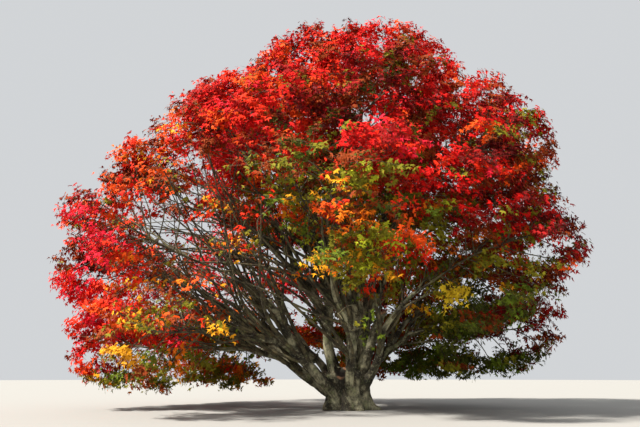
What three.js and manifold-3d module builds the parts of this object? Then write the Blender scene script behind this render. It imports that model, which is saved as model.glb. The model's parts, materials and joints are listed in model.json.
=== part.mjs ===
// A broad old Japanese maple in autumn: a squat fluted trunk, boughs that fan out of its fork, and a domed
// crown of layered foliage masses. Millimetres, +Z up, +X to the right, -Y towards the viewer.
// The origin is the middle of the flat cut under the trunk, at ground level.
import * as THREE from "three";
import { mergeVertices } from "three/addons/utils/BufferGeometryUtils.js";
import Module from "manifold-3d";

const wasm = await Module();
wasm.setup();

// Driving dimensions of the trunk: a flare at the ground, a waist, and a shoulder rounded in under the fork
const GROUND_RADIUS = 700;
const WAIST_RADIUS = 505;
const WAIST_HEIGHT = 380;
const SHOULDER_HEIGHT = 760;
const STUMP_HEIGHT = 1020;
const ROOT_FADE = 230;
const ROOT_SWELLS = [
  { lobes: 5, size: 0.11, turn: 0.4 },
  { lobes: 8, size: 0.07, turn: 1.3 },
];
const SHOULDER_WIDEN = 150;
const SHOULDER_ROUND = 0.86;
const FLUTE = { lobes: 11, size: 0.035, turn: 0.7 };
const STUMP_SIDES = 28;
const STUMP_RINGS = 7;
const STUMP_RING_CROWDING = 1.35;

// Driving dimensions of the crown: its axis leans to the right as it rises
const CROWN_SHIFT = -1140;
const CROWN_LEAN = 0.17;
const CROWN_FLATTEN = 0.92;
const SEED = 20;
const MASS_SEEDS = 120;

// One tier of the crown is a ring of masses, each carried by its own bough. Angles are in degrees, azimuth 0
// is +X and 270 faces the viewer. height, reach and the three half sizes (long, wide, deep) place and size
// the masses' spaces, and tilt turns their long axis up. The height rises towards the viewer and drops to
// the left, and the reach grows to the left, by the amounts given. A bough leaves the fork at the ring and
// base given, with lift as its slope, or leaves a bough of the source tier at leavesAt along it. girth is
// the radius of its root.
const TIERS = [
  {
    name: "lower", count: 7, first: 18, step: 51.4, height: 3050, frontRise: 870, leftDrop: -160,
    leftReach: 300, reach: 4425, tilt: 18, long: 2360, wide: 2680, deep: 1560,
    source: "fork", ring: 300, base: 290, lift: 42, lean: 12, girth: 122,
  },
  {
    name: "upper", count: 5, first: 62, step: 72, height: 6780, frontRise: -100, leftDrop: 220,
    leftReach: -290, reach: 2790, tilt: 41, long: 2170, wide: 2580, deep: 1650,
    source: "fork", ring: 160, base: 480, lift: 62, lean: 4, girth: 112,
  },
  {
    name: "leader", count: 1, first: 0, step: 360, height: 8840, frontRise: 0, leftDrop: 0,
    leftReach: 0, reach: 740, tilt: 67, long: 1470, wide: 2160, deep: 2200,
    source: "fork", ring: 0, base: 560, lift: 86, lean: 0, girth: 136,
  },
  {
    name: "skirt", count: 6, first: -9, step: 46.5, height: 1850, frontRise: 0, leftDrop: 255,
    leftReach: 170, reach: 4020, tilt: 3, long: 2000, wide: 2510, deep: 1220,
    source: "lower", leavesAt: 0.36, girth: 80,
  },
  {
    name: "middle", count: 6, first: 8, step: 60, height: 5010, frontRise: 270, leftDrop: 50,
    leftReach: -120, reach: 3750, tilt: 27, long: 2400, wide: 2710, deep: 1600,
    source: "upper", leavesAt: 0.3, girth: 80,
  },
  {
    name: "peak", count: 1, first: 180, step: 360, height: 8565, frontRise: 0, leftDrop: 0,
    leftReach: 0, reach: 1480, tilt: 59, long: 1640, wide: 2150, deep: 2000,
    source: "leader", leavesAt: 0.45, girth: 74,
  },
];
const SPREAD_JITTER = { azimuth: 5, height: 150, reach: 130 };
const ENTRY_SHARE = 0.66;
const GIRTH_BIAS = { size: 0.2, towards: 190 };

// Boughs: the trunk keeps the first stretch of each limb of the fork as a stub
const STUB_LENGTH = 1050;
const TIP_RADIUS = 30;
const TAPER_POWER = 0.85;
const WANDER = 0.05;
const HANDLE = 0.33;
const BOUGH_SIDES = 6;
const BOUGH_RINGS = 7;
const STUB_RINGS = 2;
const CHILDREN_MOST = 2;
const CHILD_STEP = 0.2;
const CHILD_TURN = 0.55;
const CHILD_GIRTH = 0.8;

// Twigs and leaves: each leaf here stands for a whole spray
const STEM = { root: 32, tip: 22, roll: 30, shortest: 700, longest: 3600 };
const SPRAYS = 14;
const SPRAY_TRIES = 70;
const SPRAY_SPAN = { first: 0.07, last: 0.95, offset: 0.35 };
const SPRAY_SPREAD = { near: 72, far: 36, sway: 14 };
const TWIG = { root: 13, tip: 11, shortest: 160, longest: 1500 };
const REACH_SHARES = [1, 0.86, 0.72];
const BLADE_LENGTHS = [1700, 1450, 1200, 1000, 800];
const GOLDEN_SHARE = 0.618;
const LEAF_THICKNESS = 0.045;
const LEAF_DROOP = { least: 0.48, most: 1.12 };
const LEAF_ROLL = 0.3;
const LEAF_OUTWARD = 0.2;
// The outline of a leaf as lobes and notches: angle from its middle line, and length as a share of the leaf's
const LEAF_OUTLINE = [
  { angle: -66, size: 0.5 },
  { angle: -30, size: 0.28 },
  { angle: 0, size: 0.64 },
  { angle: 30, size: 0.28 },
  { angle: 66, size: 0.5 },
];
const LEAF_MIDDLE = 0.36;

// Clearances between neighbours
const SEAT_GAP = 0.35;
const SPACE_MARGIN = 8;
const LIMB_ROOM = 45;
const LEAF_ROOM = 18;
const WELD = 1e-3;

const BARK = new THREE.MeshStandardMaterial({ color: 0x6f675c, roughness: 0.92, metalness: 0 });
const TINTS = {
  skirt: 0x9a8f24,
  lower: 0xd8481c,
  middle: 0xc81f22,
  upper: 0xd01722,
  leader: 0xd8202a,
  peak: 0xc01a2a,
};

const UP = new THREE.Vector3(0, 0, 1);
const FULL_TURN = Math.PI * 2;
const radians = THREE.MathUtils.degToRad;

// Random numbers from 0 to 1 that are the same for the same seed
function seeded(seed) {
  let state = seed >>> 0;
  return () => {
    state = (state + 0x6d2b79f5) >>> 0;
    let t = state;
    t = Math.imul(t ^ (t >>> 15), t | 1);
    t ^= t + Math.imul(t ^ (t >>> 7), t | 61);
    return ((t ^ (t >>> 14)) >>> 0) / 4294967296;
  };
}

function aim(azimuth, lift) {
  const a = radians(azimuth);
  const l = radians(lift);
  return new THREE.Vector3(Math.cos(a) * Math.cos(l), Math.sin(a) * Math.cos(l), Math.sin(l));
}

const along = (origin, direction, distance) => origin.clone().addScaledVector(direction, distance);

// A limb's middle line: a Bezier curve that wanders a little to either side
class LimbLine extends THREE.Curve {
  constructor(start, startAim, end, endAim, random) {
    super();
    this.span = start.distanceTo(end);
    const handle = this.span * HANDLE;
    const leaving = along(start, startAim, handle);
    const arriving = along(end, endAim, -handle);
    this.bezier = new THREE.CubicBezierCurve3(start, leaving, arriving, end);
    this.across = new THREE.Vector3().crossVectors(startAim, endAim.clone().add(UP)).normalize();
    this.turns = 1 + random();
    this.phase = random() * FULL_TURN;
  }

  getPoint(t) {
    const fade = Math.sin(Math.PI * t) ** 2 * this.span * WANDER;
    const sway = fade * Math.sin(FULL_TURN * this.turns * t + this.phase);
    return along(this.bezier.getPoint(t), this.across, sway);
  }

  // A tapering tube: a cylinder whose rings are set square to the line, turned alike on both sides of a seam
  tube(radiusAt, { from, to, rings, shift = 0 }) {
    const frames = Array.from({ length: rings + 1 }, (_, i) => {
      const t = from + ((to - from) * i) / rings;
      const tangent = this.getTangent(t);
      const normal = this.across.clone().addScaledVector(tangent, -this.across.dot(tangent)).normalize();
      const centre = along(this.getPoint(t), tangent, i ? 0 : shift);
      return { centre, normal, binormal: tangent.clone().cross(normal), radius: radiusAt(t) };
    });
    const geometry = new THREE.CylinderGeometry(1, 1, 1, BOUGH_SIDES, rings);
    const places = geometry.attributes.position;
    for (let i = 0; i < places.count; i++) {
      const { centre, normal, binormal, radius } = frames[Math.round((0.5 + places.getY(i)) * rings)];
      const place = along(centre, normal, places.getX(i) * radius);
      place.addScaledVector(binormal, -places.getZ(i) * radius);
      places.setXYZ(i, ...place);
    }
    return solidFrom(geometry);
  }
}

// A closed geometry as a solid that can be joined and cut
function solidFrom(geometry) {
  geometry.deleteAttribute("normal");
  geometry.deleteAttribute("uv");
  const merged = mergeVertices(geometry, WELD);
  const solid = new wasm.Manifold(
    new wasm.Mesh({
      numProp: 3,
      vertProperties: merged.attributes.position.array,
      triVerts: new Uint32Array(merged.index.array),
    }),
  );
  if (solid.volume() <= 0) throw new Error("a solid is empty or inside out");
  return solid;
}

function meshFrom(name, solid, material) {
  const made = solid.getMesh();
  const geometry = new THREE.BufferGeometry();
  geometry.setAttribute("position", new THREE.BufferAttribute(made.vertProperties, 3));
  geometry.setIndex(new THREE.BufferAttribute(made.triVerts, 1));
  geometry.computeVertexNormals();
  const mesh = new THREE.Mesh(geometry, material);
  mesh.name = name;
  return mesh;
}

// The largest body of a solid, without the scraps
function largest(solid) {
  return solid.decompose().reduce((best, body) => (body.volume() > best.volume() ? body : best));
}

// The space of one foliage mass: an ellipsoid, less what lies nearer to another mass. No two spaces meet.
class Space {
  constructor(tier, number, azimuth, random) {
    const front = Math.max(0, -Math.sin(radians(azimuth)));
    const left = Math.max(0, -Math.cos(radians(azimuth)));
    const jitter = (size) => (random() * 2 - 1) * size;
    this.tier = tier;
    this.name = tier.count > 1 ? `${tier.name}_${number + 1}` : tier.name;
    this.azimuth = azimuth + jitter(SPREAD_JITTER.azimuth);
    const level = tier.height + tier.frontRise * front * front - tier.leftDrop * left;
    const height = level + jitter(SPREAD_JITTER.height);
    const reach = tier.reach + tier.leftReach * left + jitter(SPREAD_JITTER.reach);
    const flat = aim(this.azimuth, 0);
    this.centre = new THREE.Vector3(
      CROWN_SHIFT + CROWN_LEAN * height + reach * flat.x,
      reach * CROWN_FLATTEN * flat.y,
      height,
    );
    this.outward = aim(this.azimuth, tier.tilt);
    this.sideways = aim(this.azimuth + 90, 0);
    this.above = this.outward.clone().cross(this.sideways);
    this.entry = along(this.centre, this.outward, -tier.long * ENTRY_SHARE);
    this.walls = [];
  }

  // A vector in the ellipsoid's own scale, where its skin is at length 1
  scaled(vector) {
    const { long, wide, deep } = this.tier;
    return new THREE.Vector3(
      vector.dot(this.outward) / long,
      vector.dot(this.sideways) / wide,
      vector.dot(this.above) / deep,
    );
  }

  holds(point) {
    if (this.scaled(point.clone().sub(this.centre)).length() > 1) return false;
    return this.walls.every((wall) => wall.normal.dot(point) < wall.limit - SPACE_MARGIN);
  }

  // How far a ray goes before it leaves the space
  roomAhead(point, direction) {
    const p = this.scaled(point.clone().sub(this.centre));
    const d = this.scaled(direction);
    const b = p.dot(d) / d.lengthSq();
    const c = (p.lengthSq() - 1) / d.lengthSq();
    let room = b * b > c ? -b + Math.sqrt(b * b - c) : 0;
    for (const wall of this.walls) {
      const speed = wall.normal.dot(direction);
      if (speed > 0) room = Math.min(room, (wall.limit - SPACE_MARGIN - wall.normal.dot(point)) / speed);
    }
    return Math.max(room, 0);
  }
}

// Each pair of spaces is parted by a flat wall, nearer to the flatter one of the two
function makeSpaces() {
  const random = seeded(SEED);
  const spaces = TIERS.flatMap((tier) =>
    Array.from({ length: tier.count }, (_, i) => new Space(tier, i, tier.first + tier.step * i, random)),
  );
  for (const a of spaces)
    for (const b of spaces)
      if (a !== b) {
        const normal = b.centre.clone().sub(a.centre).normalize();
        const share = a.tier.deep / (a.tier.deep + b.tier.deep);
        a.walls.push({ normal, limit: normal.dot(a.centre.clone().lerp(b.centre, share)) });
      }
  return spaces;
}

// A bough is one limb of the fork or of another bough, and ends where it enters its mass
class Bough {
  constructor(space, random, boughs) {
    const { tier, azimuth } = space;
    this.space = space;
    this.name = `bough_${space.name}`;
    this.rootRadius = tier.girth * (1 + GIRTH_BIAS.size * Math.cos(radians(azimuth - GIRTH_BIAS.towards)));
    this.children = 0;
    let start = aim(azimuth, 0).multiplyScalar(tier.ring || 0).setZ(tier.base || 0);
    let startAim = aim(azimuth, tier.lift + tier.lean * Math.cos(radians(azimuth)));
    if (tier.source !== "fork") {
      const apart = (bough) => Math.abs(((bough.space.azimuth - azimuth + 540) % 360) - 180);
      const near = boughs.filter(
        (bough) => bough.space.tier.name === tier.source && bough.children < CHILDREN_MOST,
      );
      this.parent = near.reduce((best, bough) => (apart(bough) < apart(best) ? bough : best));
      const at = tier.leavesAt + CHILD_STEP * this.parent.children;
      this.parent.children += 1;
      start = this.parent.line.getPoint(at);
      const onward = space.entry.clone().sub(start).normalize();
      startAim = this.parent.line.getTangent(at).lerp(onward, CHILD_TURN).normalize();
      this.rootRadius = Math.min(this.rootRadius, this.parent.radiusAt(at) * CHILD_GIRTH);
    }
    this.line = new LimbLine(start, startAim, space.entry.clone(), space.outward, random);
    this.stub = this.parent ? 0 : STUB_LENGTH / this.line.getLength();
  }

  radiusAt(t) {
    return TIP_RADIUS + (this.rootRadius - TIP_RADIUS) * Math.max(0, 1 - t) ** TAPER_POWER;
  }

  solid() {
    const span = { from: this.stub, to: 1, rings: BOUGH_RINGS };
    if (!this.parent) return this.line.tube((t) => this.radiusAt(t), { ...span, shift: SEAT_GAP });
    const whole = this.line.tube((t) => this.radiusAt(t), span);
    return largest(whole.subtract(this.parent.seatCutter()));
  }

  // The bough itself, a little stouter, to cut the seat of a limb that leaves it
  seatCutter() {
    return this.line.tube((t) => this.radiusAt(t) + SEAT_GAP, { from: this.stub, to: 1, rings: BOUGH_RINGS });
  }

  stubSolid() {
    return this.line.tube((t) => this.radiusAt(t), { from: 0, to: this.stub, rings: STUB_RINGS });
  }
}

function makeBoughs(spaces) {
  const random = seeded(SEED + 1);
  const boughs = [];
  for (const space of spaces) boughs.push(new Bough(space, random, boughs));
  return boughs;
}

// The stump's radius at a height and angle: the flare, the root swellings that fade upwards, and the flutes
function stumpRadius(height, angle) {
  const fade = Math.exp(-height / ROOT_FADE);
  const waist = WAIST_RADIUS + (SHOULDER_WIDEN * Math.max(0, height - WAIST_HEIGHT)) / STUMP_HEIGHT;
  const over = Math.max(0, (height - SHOULDER_HEIGHT) / (STUMP_HEIGHT - SHOULDER_HEIGHT));
  const swell = ROOT_SWELLS.reduce((sum, s) => sum + s.size * Math.cos(s.lobes * angle + s.turn), 0);
  const flute = FLUTE.size * Math.cos(FLUTE.lobes * angle + FLUTE.turn);
  const round = Math.sqrt(1 - SHOULDER_ROUND * over * over);
  return (waist + (GROUND_RADIUS - WAIST_RADIUS) * fade) * (1 + swell * fade + flute) * round;
}

// The stump under the fork: a drum whose skin is pushed out to that radius
function stumpSolid() {
  const profile = [new THREE.Vector2(0, 0)];
  for (let i = 0; i <= STUMP_RINGS; i++)
    profile.push(new THREE.Vector2(1, STUMP_HEIGHT * (i / STUMP_RINGS) ** STUMP_RING_CROWDING));
  profile.push(new THREE.Vector2(0, STUMP_HEIGHT));
  const geometry = new THREE.LatheGeometry(profile, STUMP_SIDES);
  const places = geometry.attributes.position;
  for (let i = 0; i < places.count; i++) {
    const height = places.getY(i);
    const angle = Math.atan2(-places.getZ(i), places.getX(i));
    const radius = Math.hypot(places.getX(i), places.getZ(i)) * stumpRadius(height, angle);
    places.setXYZ(i, radius * Math.cos(angle), radius * Math.sin(angle), height);
  }
  return solidFrom(geometry);
}

function trunkSolid(boughs) {
  const stubs = boughs.filter((bough) => !bough.parent).map((bough) => bough.stubSolid());
  return largest(wasm.Manifold.union([stumpSolid(), ...stubs]));
}

// A leaf on its stalk: a three-sided twig that ends in a thin blade drawn out into lobes. Without a stalk the
// blade starts from the root ring itself.
class Leaf {
  constructor({ root, stalkAim, stalk, rootRadius, neckRadius, bladeAim, normal, length, roll = 0 }) {
    const neck = along(root, stalkAim, stalk);
    const guide = normal.clone().addScaledVector(stalkAim, -normal.dot(stalkAim)).normalize();
    this.above = guide.applyAxisAngle(stalkAim, roll);
    this.stalk = stalk;
    const middle = along(neck, bladeAim, length * LEAF_MIDDLE);
    const rings = [this.ring(root, stalkAim, rootRadius)];
    if (stalk > 0) rings.push(this.ring(neck, stalkAim, neckRadius));
    const side = bladeAim.clone().cross(normal);
    const half = (length * LEAF_THICKNESS) / 2;
    const rim = LEAF_OUTLINE.map(({ angle, size }) => {
      const out = bladeAim.clone().multiplyScalar(Math.cos(radians(angle)));
      return along(middle, out.addScaledVector(side, Math.sin(radians(angle))), length * size);
    });
    this.points = [...rings.flat(), ...rim, along(middle, normal, half), along(middle, normal, -half)];
    this.faces = this.skin(rings.length - 1, rim.length);
  }

  ring(centre, tangent, radius) {
    return [0, 1, 2].map((k) => {
      const out = this.above.clone().applyAxisAngle(tangent, (k * FULL_TURN) / 3);
      return along(centre, out, radius);
    });
  }

  // The root's end, the stalk's sides, then a fan over the blade and one under it
  skin(stalks, lobes) {
    const faces = [[0, 2, 1]];
    for (let k = 0; k < 3 * stalks; k++) {
      const next = (k + 1) % 3;
      faces.push([k, next, next + 3], [k, next + 3, k + 3]);
    }
    const neck = 3 * stalks;
    const first = neck + 3;
    const under = [neck + 2, ...Array.from({ length: lobes }, (_, i) => first + i), neck + 1];
    const over = [...under, neck];
    const top = first + lobes;
    over.forEach((p, i) => faces.push([top, over[(i + 1) % over.length], p]));
    under.forEach((p, i) => faces.push([top + 1, p, under[(i + 1) % under.length]]));
    return faces;
  }

  solid() {
    const geometry = new THREE.BufferGeometry().setFromPoints(this.points);
    geometry.setIndex(this.faces.flat());
    return solidFrom(geometry);
  }
}

// One foliage mass: a stem from the bough's tip with a leaf at its end, and leaves on twigs off the stem's
// three sides, spread along it by the golden share
class Mass {
  constructor(bough, limbs, tip, random) {
    this.space = bough.space;
    this.random = random;
    this.limbs = limbs;
    this.pieces = [];
    this.guards = [];
    this.grow(tip);
  }

  // Adds a leaf if it keeps to the space, off the limbs and off the other leaves
  place(leaf, joined) {
    if (!leaf.points.every((point) => this.space.holds(point))) return null;
    const solid = leaf.solid();
    if (!this.limbs.every((limb) => solid.minGap(limb, LIMB_ROOM) >= LIMB_ROOM)) return null;
    const others = [...this.pieces, ...this.guards].filter((other) => other !== joined);
    if (!others.every((other) => solid.minGap(other, LEAF_ROOM) >= LEAF_ROOM)) return null;
    this.pieces.push(solid);
    return solid;
  }

  // Leaves lie in layers and droop towards their tips
  blade(direction) {
    const droop = THREE.MathUtils.lerp(LEAF_DROOP.least, LEAF_DROOP.most, this.random());
    const bladeAim = direction.clone().addScaledVector(UP, -droop).normalize();
    const either = () => this.random() * 2 - 1;
    const loose = new THREE.Vector3(either(), either(), 0).multiplyScalar(LEAF_ROLL);
    const guide = UP.clone().addScaledVector(this.space.outward, LEAF_OUTWARD).add(loose);
    return { bladeAim, normal: guide.addScaledVector(bladeAim, -guide.dot(bladeAim)).normalize() };
  }

  // The furthest reach comes first, then the largest blade that fits there
  fit(twig, longest, shortest, joined) {
    const room = this.space.roomAhead(twig.root, twig.stalkAim);
    const blade = this.blade(twig.stalkAim);
    for (const share of REACH_SHARES)
      for (const length of BLADE_LENGTHS) {
        const stalk = Math.min(room * share - length, longest);
        if (stalk < shortest) continue;
        const leaf = new Leaf({ ...twig, ...blade, stalk, length });
        const solid = this.place(leaf, joined);
        if (solid) return { leaf, solid, blade, length };
      }
    return null;
  }

  // The stem starts a hair beyond the bough's tip
  grow(tip) {
    const { space, random } = this;
    const { outward, entry } = space;
    const root = along(entry, outward, SEAT_GAP);
    const roll = radians((random() * 2 - 1) * STEM.roll);
    this.limbs = this.limbs.filter((limb) => limb !== tip);
    const wood = { root, stalkAim: outward, rootRadius: STEM.root, neckRadius: STEM.tip, roll };
    const stem = this.fit(wood, STEM.longest, STEM.shortest, null);
    if (!stem) throw new Error(`the stem of ${space.name} does not fit`);
    const { stalk, above } = stem.leaf;
    const neck = along(root, outward, stalk);
    this.guards.push(new Leaf({ ...wood, ...stem.blade, root: neck, stalk: 0, length: stem.length }).solid());
    let sprays = 0;
    for (let k = 0; k < SPRAY_TRIES && sprays < SPRAYS; k++) {
      const spread = (k * GOLDEN_SHARE + SPRAY_SPAN.offset) % 1;
      const at = THREE.MathUtils.lerp(SPRAY_SPAN.first, SPRAY_SPAN.last, spread);
      const turn = ((k + 0.5) * FULL_TURN) / 3 + radians((random() * 2 - 1) * SPRAY_SPREAD.sway);
      const side = above.clone().applyAxisAngle(outward, turn);
      const angle = radians(THREE.MathUtils.lerp(SPRAY_SPREAD.near, SPRAY_SPREAD.far, at));
      const stalkAim = outward.clone().multiplyScalar(Math.cos(angle)).addScaledVector(side, Math.sin(angle));
      const start = along(root, outward, stalk * at);
      const twig = { root: start, stalkAim, rootRadius: TWIG.root, neckRadius: TWIG.tip };
      if (this.fit(twig, TWIG.longest, TWIG.shortest, stem.solid)) sprays += 1;
    }
  }

  solid() {
    return largest(wasm.Manifold.union(this.pieces));
  }
}

function buildTree() {
  const tree = new THREE.Group();
  const boughs = makeBoughs(makeSpaces());
  const trunk = trunkSolid(boughs);
  tree.add(meshFrom("trunk", trunk, BARK));
  const limbs = new Map(boughs.map((bough) => [bough, bough.solid()]));
  for (const [bough, solid] of limbs) tree.add(meshFrom(bough.name, solid, BARK));
  boughs.forEach((bough, i) => {
    const { name, tier } = bough.space;
    const foliage = new THREE.MeshStandardMaterial({ color: TINTS[tier.name], roughness: 0.6, metalness: 0 });
    const mass = new Mass(bough, [trunk, ...limbs.values()], limbs.get(bough), seeded(MASS_SEEDS + i));
    tree.add(meshFrom(`mass_${name}`, mass.solid(), foliage));
  });
  return tree;
}

export default buildTree();
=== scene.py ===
"""A broad old Japanese maple in autumn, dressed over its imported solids.

Metres, +Z up, +X to the right and -Y towards the viewer. The limbs follow the rule of the solids' source,
and the foliage carries that rule on to finer twigs and to leaves.
"""

import json
import logging
import math
from dataclasses import dataclass, field
from enum import Enum
from typing import Any

import bpy
import numpy as np
from bpy.types import Material, Mesh, Node, Object
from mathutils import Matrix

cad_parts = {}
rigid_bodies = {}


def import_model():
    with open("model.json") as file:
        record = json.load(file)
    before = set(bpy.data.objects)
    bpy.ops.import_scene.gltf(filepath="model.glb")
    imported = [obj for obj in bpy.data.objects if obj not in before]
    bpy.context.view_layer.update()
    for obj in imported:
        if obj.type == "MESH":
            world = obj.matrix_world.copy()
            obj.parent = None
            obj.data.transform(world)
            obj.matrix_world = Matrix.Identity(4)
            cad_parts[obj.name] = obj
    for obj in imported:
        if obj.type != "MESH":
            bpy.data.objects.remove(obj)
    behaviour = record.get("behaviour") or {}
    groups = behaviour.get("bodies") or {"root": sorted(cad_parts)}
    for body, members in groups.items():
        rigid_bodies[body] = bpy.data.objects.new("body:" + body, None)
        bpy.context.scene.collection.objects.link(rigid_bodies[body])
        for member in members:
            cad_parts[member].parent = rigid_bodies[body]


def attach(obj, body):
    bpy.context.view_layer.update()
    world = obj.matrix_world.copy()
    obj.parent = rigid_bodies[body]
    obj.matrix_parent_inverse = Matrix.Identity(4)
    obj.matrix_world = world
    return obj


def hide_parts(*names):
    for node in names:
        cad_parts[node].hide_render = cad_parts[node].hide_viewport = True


Array = np.ndarray
Pair = tuple[float, float]
Triple = tuple[float, float, float]
Four = tuple[float, float, float, float]

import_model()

LOG = logging.getLogger("maple")
BODY = "root"

UP = np.array((0.0, 0.0, 1.0))
FULL_TURN = 2 * math.pi
GOLDEN_SHARE = 0.618
LEAST_LENGTH, OFF_ZERO = 1e-9, 1e-6
# Whole numbers that scramble the seeded draw and the noise's cells
WORD, HALF_WORD = 0xFFFFFFFF, 0xFFFF
DRAW_STEP, SEED_STEP, SCRAMBLE = 0x6D2B79F5, 2654435761, 1274126177
CELL_STEPS = (73856093, 19349663, 83492791)

# The crown's axis leans to the right as it rises
CROWN_SHIFT = -1.14
CROWN_LEAN = 0.17
CROWN_FLATTEN = 0.92
SEED = 20
FOLIAGE_SEED = 120
JITTER_AZIMUTH, JITTER_HEIGHT, JITTER_REACH = 5.0, 0.15, 0.13
ENTRY_SHARE = 0.66
GIRTH_BIAS, GIRTH_TOWARDS = 0.2, 190.0
STUB_LENGTH = 1.05
TIP_RADIUS = 0.03
TAPER_POWER = 0.85
WANDER = 0.05
HANDLE = 0.33
# The bark's lines on the trunk fan out from a hub below the ground
HUB = np.array((0.0, 0.0, -1.1))
HUB_SPAN = 1.7
# The crown as one rough ellipsoid
CROWN_MIDDLE = np.array((-0.6, 0.0, 4.4))
CROWN_HALF = np.array((6.6, 5.9, 5.5))
# Leaves thin out from a depth of INNER_DEPTH and over INNER_SPAN, as shares of that ellipsoid
INNER_THINNING, INNER_DEPTH, INNER_SPAN = 0.3, 0.4, 0.35
# Valleys between the clumps of leaves run where a noise is near 0
VALLEY_SCALE, VALLEY_WIDTH, VALLEY_THINS, VALLEY_NOISE = 0.95, 0.11, 0.8, 31
CROWN_TOP = 10.12
FAR_BELOW = UP * -9
# Shoots and leaves sit in even slots, each at this share of its own
SLOT = 0.8
# How many boughs leave another, how far apart, how much each turns, and its girth as a share of its parent's
CHILDREN_MOST = 2
CHILD_STEP, CHILD_TURN, CHILD_GIRTH = 0.2, 0.55, 0.8


class SeededDraw:
    """Numbers from 0 to 1, the same for the same seed, drawn as the solids' source draws them."""

    def __init__(self, seed: int) -> None:
        """Start the row of numbers at seed."""
        self.state = seed & WORD

    def __call__(self) -> float:
        """Return the next number."""
        self.state = (self.state + DRAW_STEP) & WORD
        t = self.state
        t = ((t ^ (t >> 15)) * (t | 1)) & WORD
        t ^= (t + (((t ^ (t >> 7)) * (t | 61)) & WORD)) & WORD
        return ((t ^ (t >> 14)) & WORD) / (WORD + 1)

    def spread(self, size: float) -> float:
        """Return a number from -size to size."""
        return (self() * 2 - 1) * size


def aim(azimuth: float, lift: float) -> Array:
    """Turn two angles into a direction.

    Args:
        azimuth: Degrees round from +X.
        lift: Degrees up from level.

    Returns:
        The unit direction.
    """
    a, b = math.radians(azimuth), math.radians(lift)
    return np.array((math.cos(a) * math.cos(b), math.sin(a) * math.cos(b), math.sin(b)))


def unit(vectors: Array) -> Array:
    """Return the vectors at length 1."""
    return vectors / np.maximum(np.linalg.norm(vectors, axis=-1, keepdims=True), LEAST_LENGTH)


def turned(vector: Array, axis: Array, angle: float) -> Array:
    """Turn a vector about a unit axis.

    Args:
        vector: What is turned.
        axis: The unit axis.
        angle: Radians.

    Returns:
        The turned vector.
    """
    c, s = math.cos(angle), math.sin(angle)
    return vector * c + np.cross(axis, vector) * s + axis * (axis @ vector) * (1 - c)


def eased(share: Array) -> Array:
    """Return shares from 0 to 1 with a soft start and end."""
    return share * share * (3 - 2 * share)


def bent(start: Array, middle: Array, end: Array, t: Array) -> Array:
    """Return the places at the shares t of a curve that its middle draws aside."""
    return start * (1 - t) ** 2 + middle * 2 * t * (1 - t) + end * t * t


def ring_angles(sides: int) -> Array:
    """Return even angles round a ring, in radians."""
    return np.arange(sides) * FULL_TURN / sides


def past(angle: Array | float, mark: float) -> Array | float:
    """Return how far an angle lies past a mark, from -180 to 180 degrees."""
    return (angle - mark + 180) % 360 - 180


def shell(points: Array) -> Array:
    """Return how far out in the crown's rough ellipsoid places lie, 1 on its skin."""
    return np.linalg.norm((points - CROWN_MIDDLE) / CROWN_HALF, axis=-1)


def lattice_noise(points: Array, seed: int) -> Array:
    """Smooth noise from random values on a lattice of unit cells.

    Args:
        points: Places, one a row.
        seed: Which noise.

    Returns:
        A number from -1 to 1 for each place.
    """
    cell = np.floor(points).astype(np.int64)
    ease = eased(points - cell)
    total = np.zeros(len(points))
    for corner in np.ndindex(2, 2, 2):
        key = (cell + np.array(corner)) * CELL_STEPS
        mixed = (key[:, 0] ^ key[:, 1] ^ key[:, 2] ^ (seed * SEED_STEP)) & WORD
        mixed = ((mixed ^ (mixed >> 13)) * SCRAMBLE) & WORD
        value = ((mixed ^ (mixed >> 16)) & HALF_WORD) * 2 / HALF_WORD - 1
        total += value * np.prod(np.where(corner, ease, 1 - ease), axis=1)
    return total


def mesh_of(name: str, points: Array, faces: list, edges: list | tuple = ()) -> Mesh:
    """Make a mesh from arrays.

    Args:
        name: The mesh's name.
        points: Its places, one a row.
        faces: Its faces as rows of point numbers.
        edges: Loose edges as pairs of point numbers.

    Returns:
        The mesh.
    """
    mesh = bpy.data.meshes.new(name)
    mesh.from_pydata(points.reshape(-1, 3).tolist(), list(edges), faces)
    mesh.update()
    return mesh


def write(mesh: Mesh, name: str, kind: str, values: Array) -> None:
    """Keep a value for every point of a mesh.

    Args:
        mesh: The mesh.
        name: The attribute's name.
        kind: Its type.
        values: One row for each point.
    """
    number = {"INT": np.int32, "BOOLEAN": bool}.get(kind, np.float32)
    data = mesh.attributes.new(name, kind, "POINT").data
    data.foreach_set("vector" if kind == "FLOAT_VECTOR" else "value", values.astype(number).ravel())


def shown(name: str, mesh: Mesh) -> Object:
    """Put a mesh in the scene as an object at the origin."""
    obj = bpy.data.objects.new(name, mesh)
    bpy.context.scene.collection.objects.link(obj)
    return obj


def baked(obj: Object) -> Object:
    """Turn an object's live modifiers into its plain mesh.

    Args:
        obj: The object, whose modifiers all end here.

    Returns:
        The same object, with the plain mesh.
    """
    bpy.context.view_layer.update()
    evaluated = obj.evaluated_get(bpy.context.evaluated_depsgraph_get())
    plain = bpy.data.meshes.new_from_object(evaluated)
    obj.modifiers.clear()
    old = obj.data
    obj.data = plain
    bpy.data.meshes.remove(old)
    plain.name = obj.name
    return obj


# The screen's colour curve: a straight toe, then a power
TOE_END, TOE_SLOPE, CURVE_SHIFT, CURVE_POWER = 0.04045, 12.92, 0.055, 2.4


def linear(code: str) -> Four:
    """Turn a screen colour code of six hex digits into a linear colour with alpha 1."""
    parts = [int(code[i : i + 2], 16) / 255 for i in (0, 2, 4)]
    red, green, blue = (
        c / TOE_SLOPE if c <= TOE_END else ((c + CURVE_SHIFT) / (1 + CURVE_SHIFT)) ** CURVE_POWER
        for c in parts)
    return red, green, blue, 1.0


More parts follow.
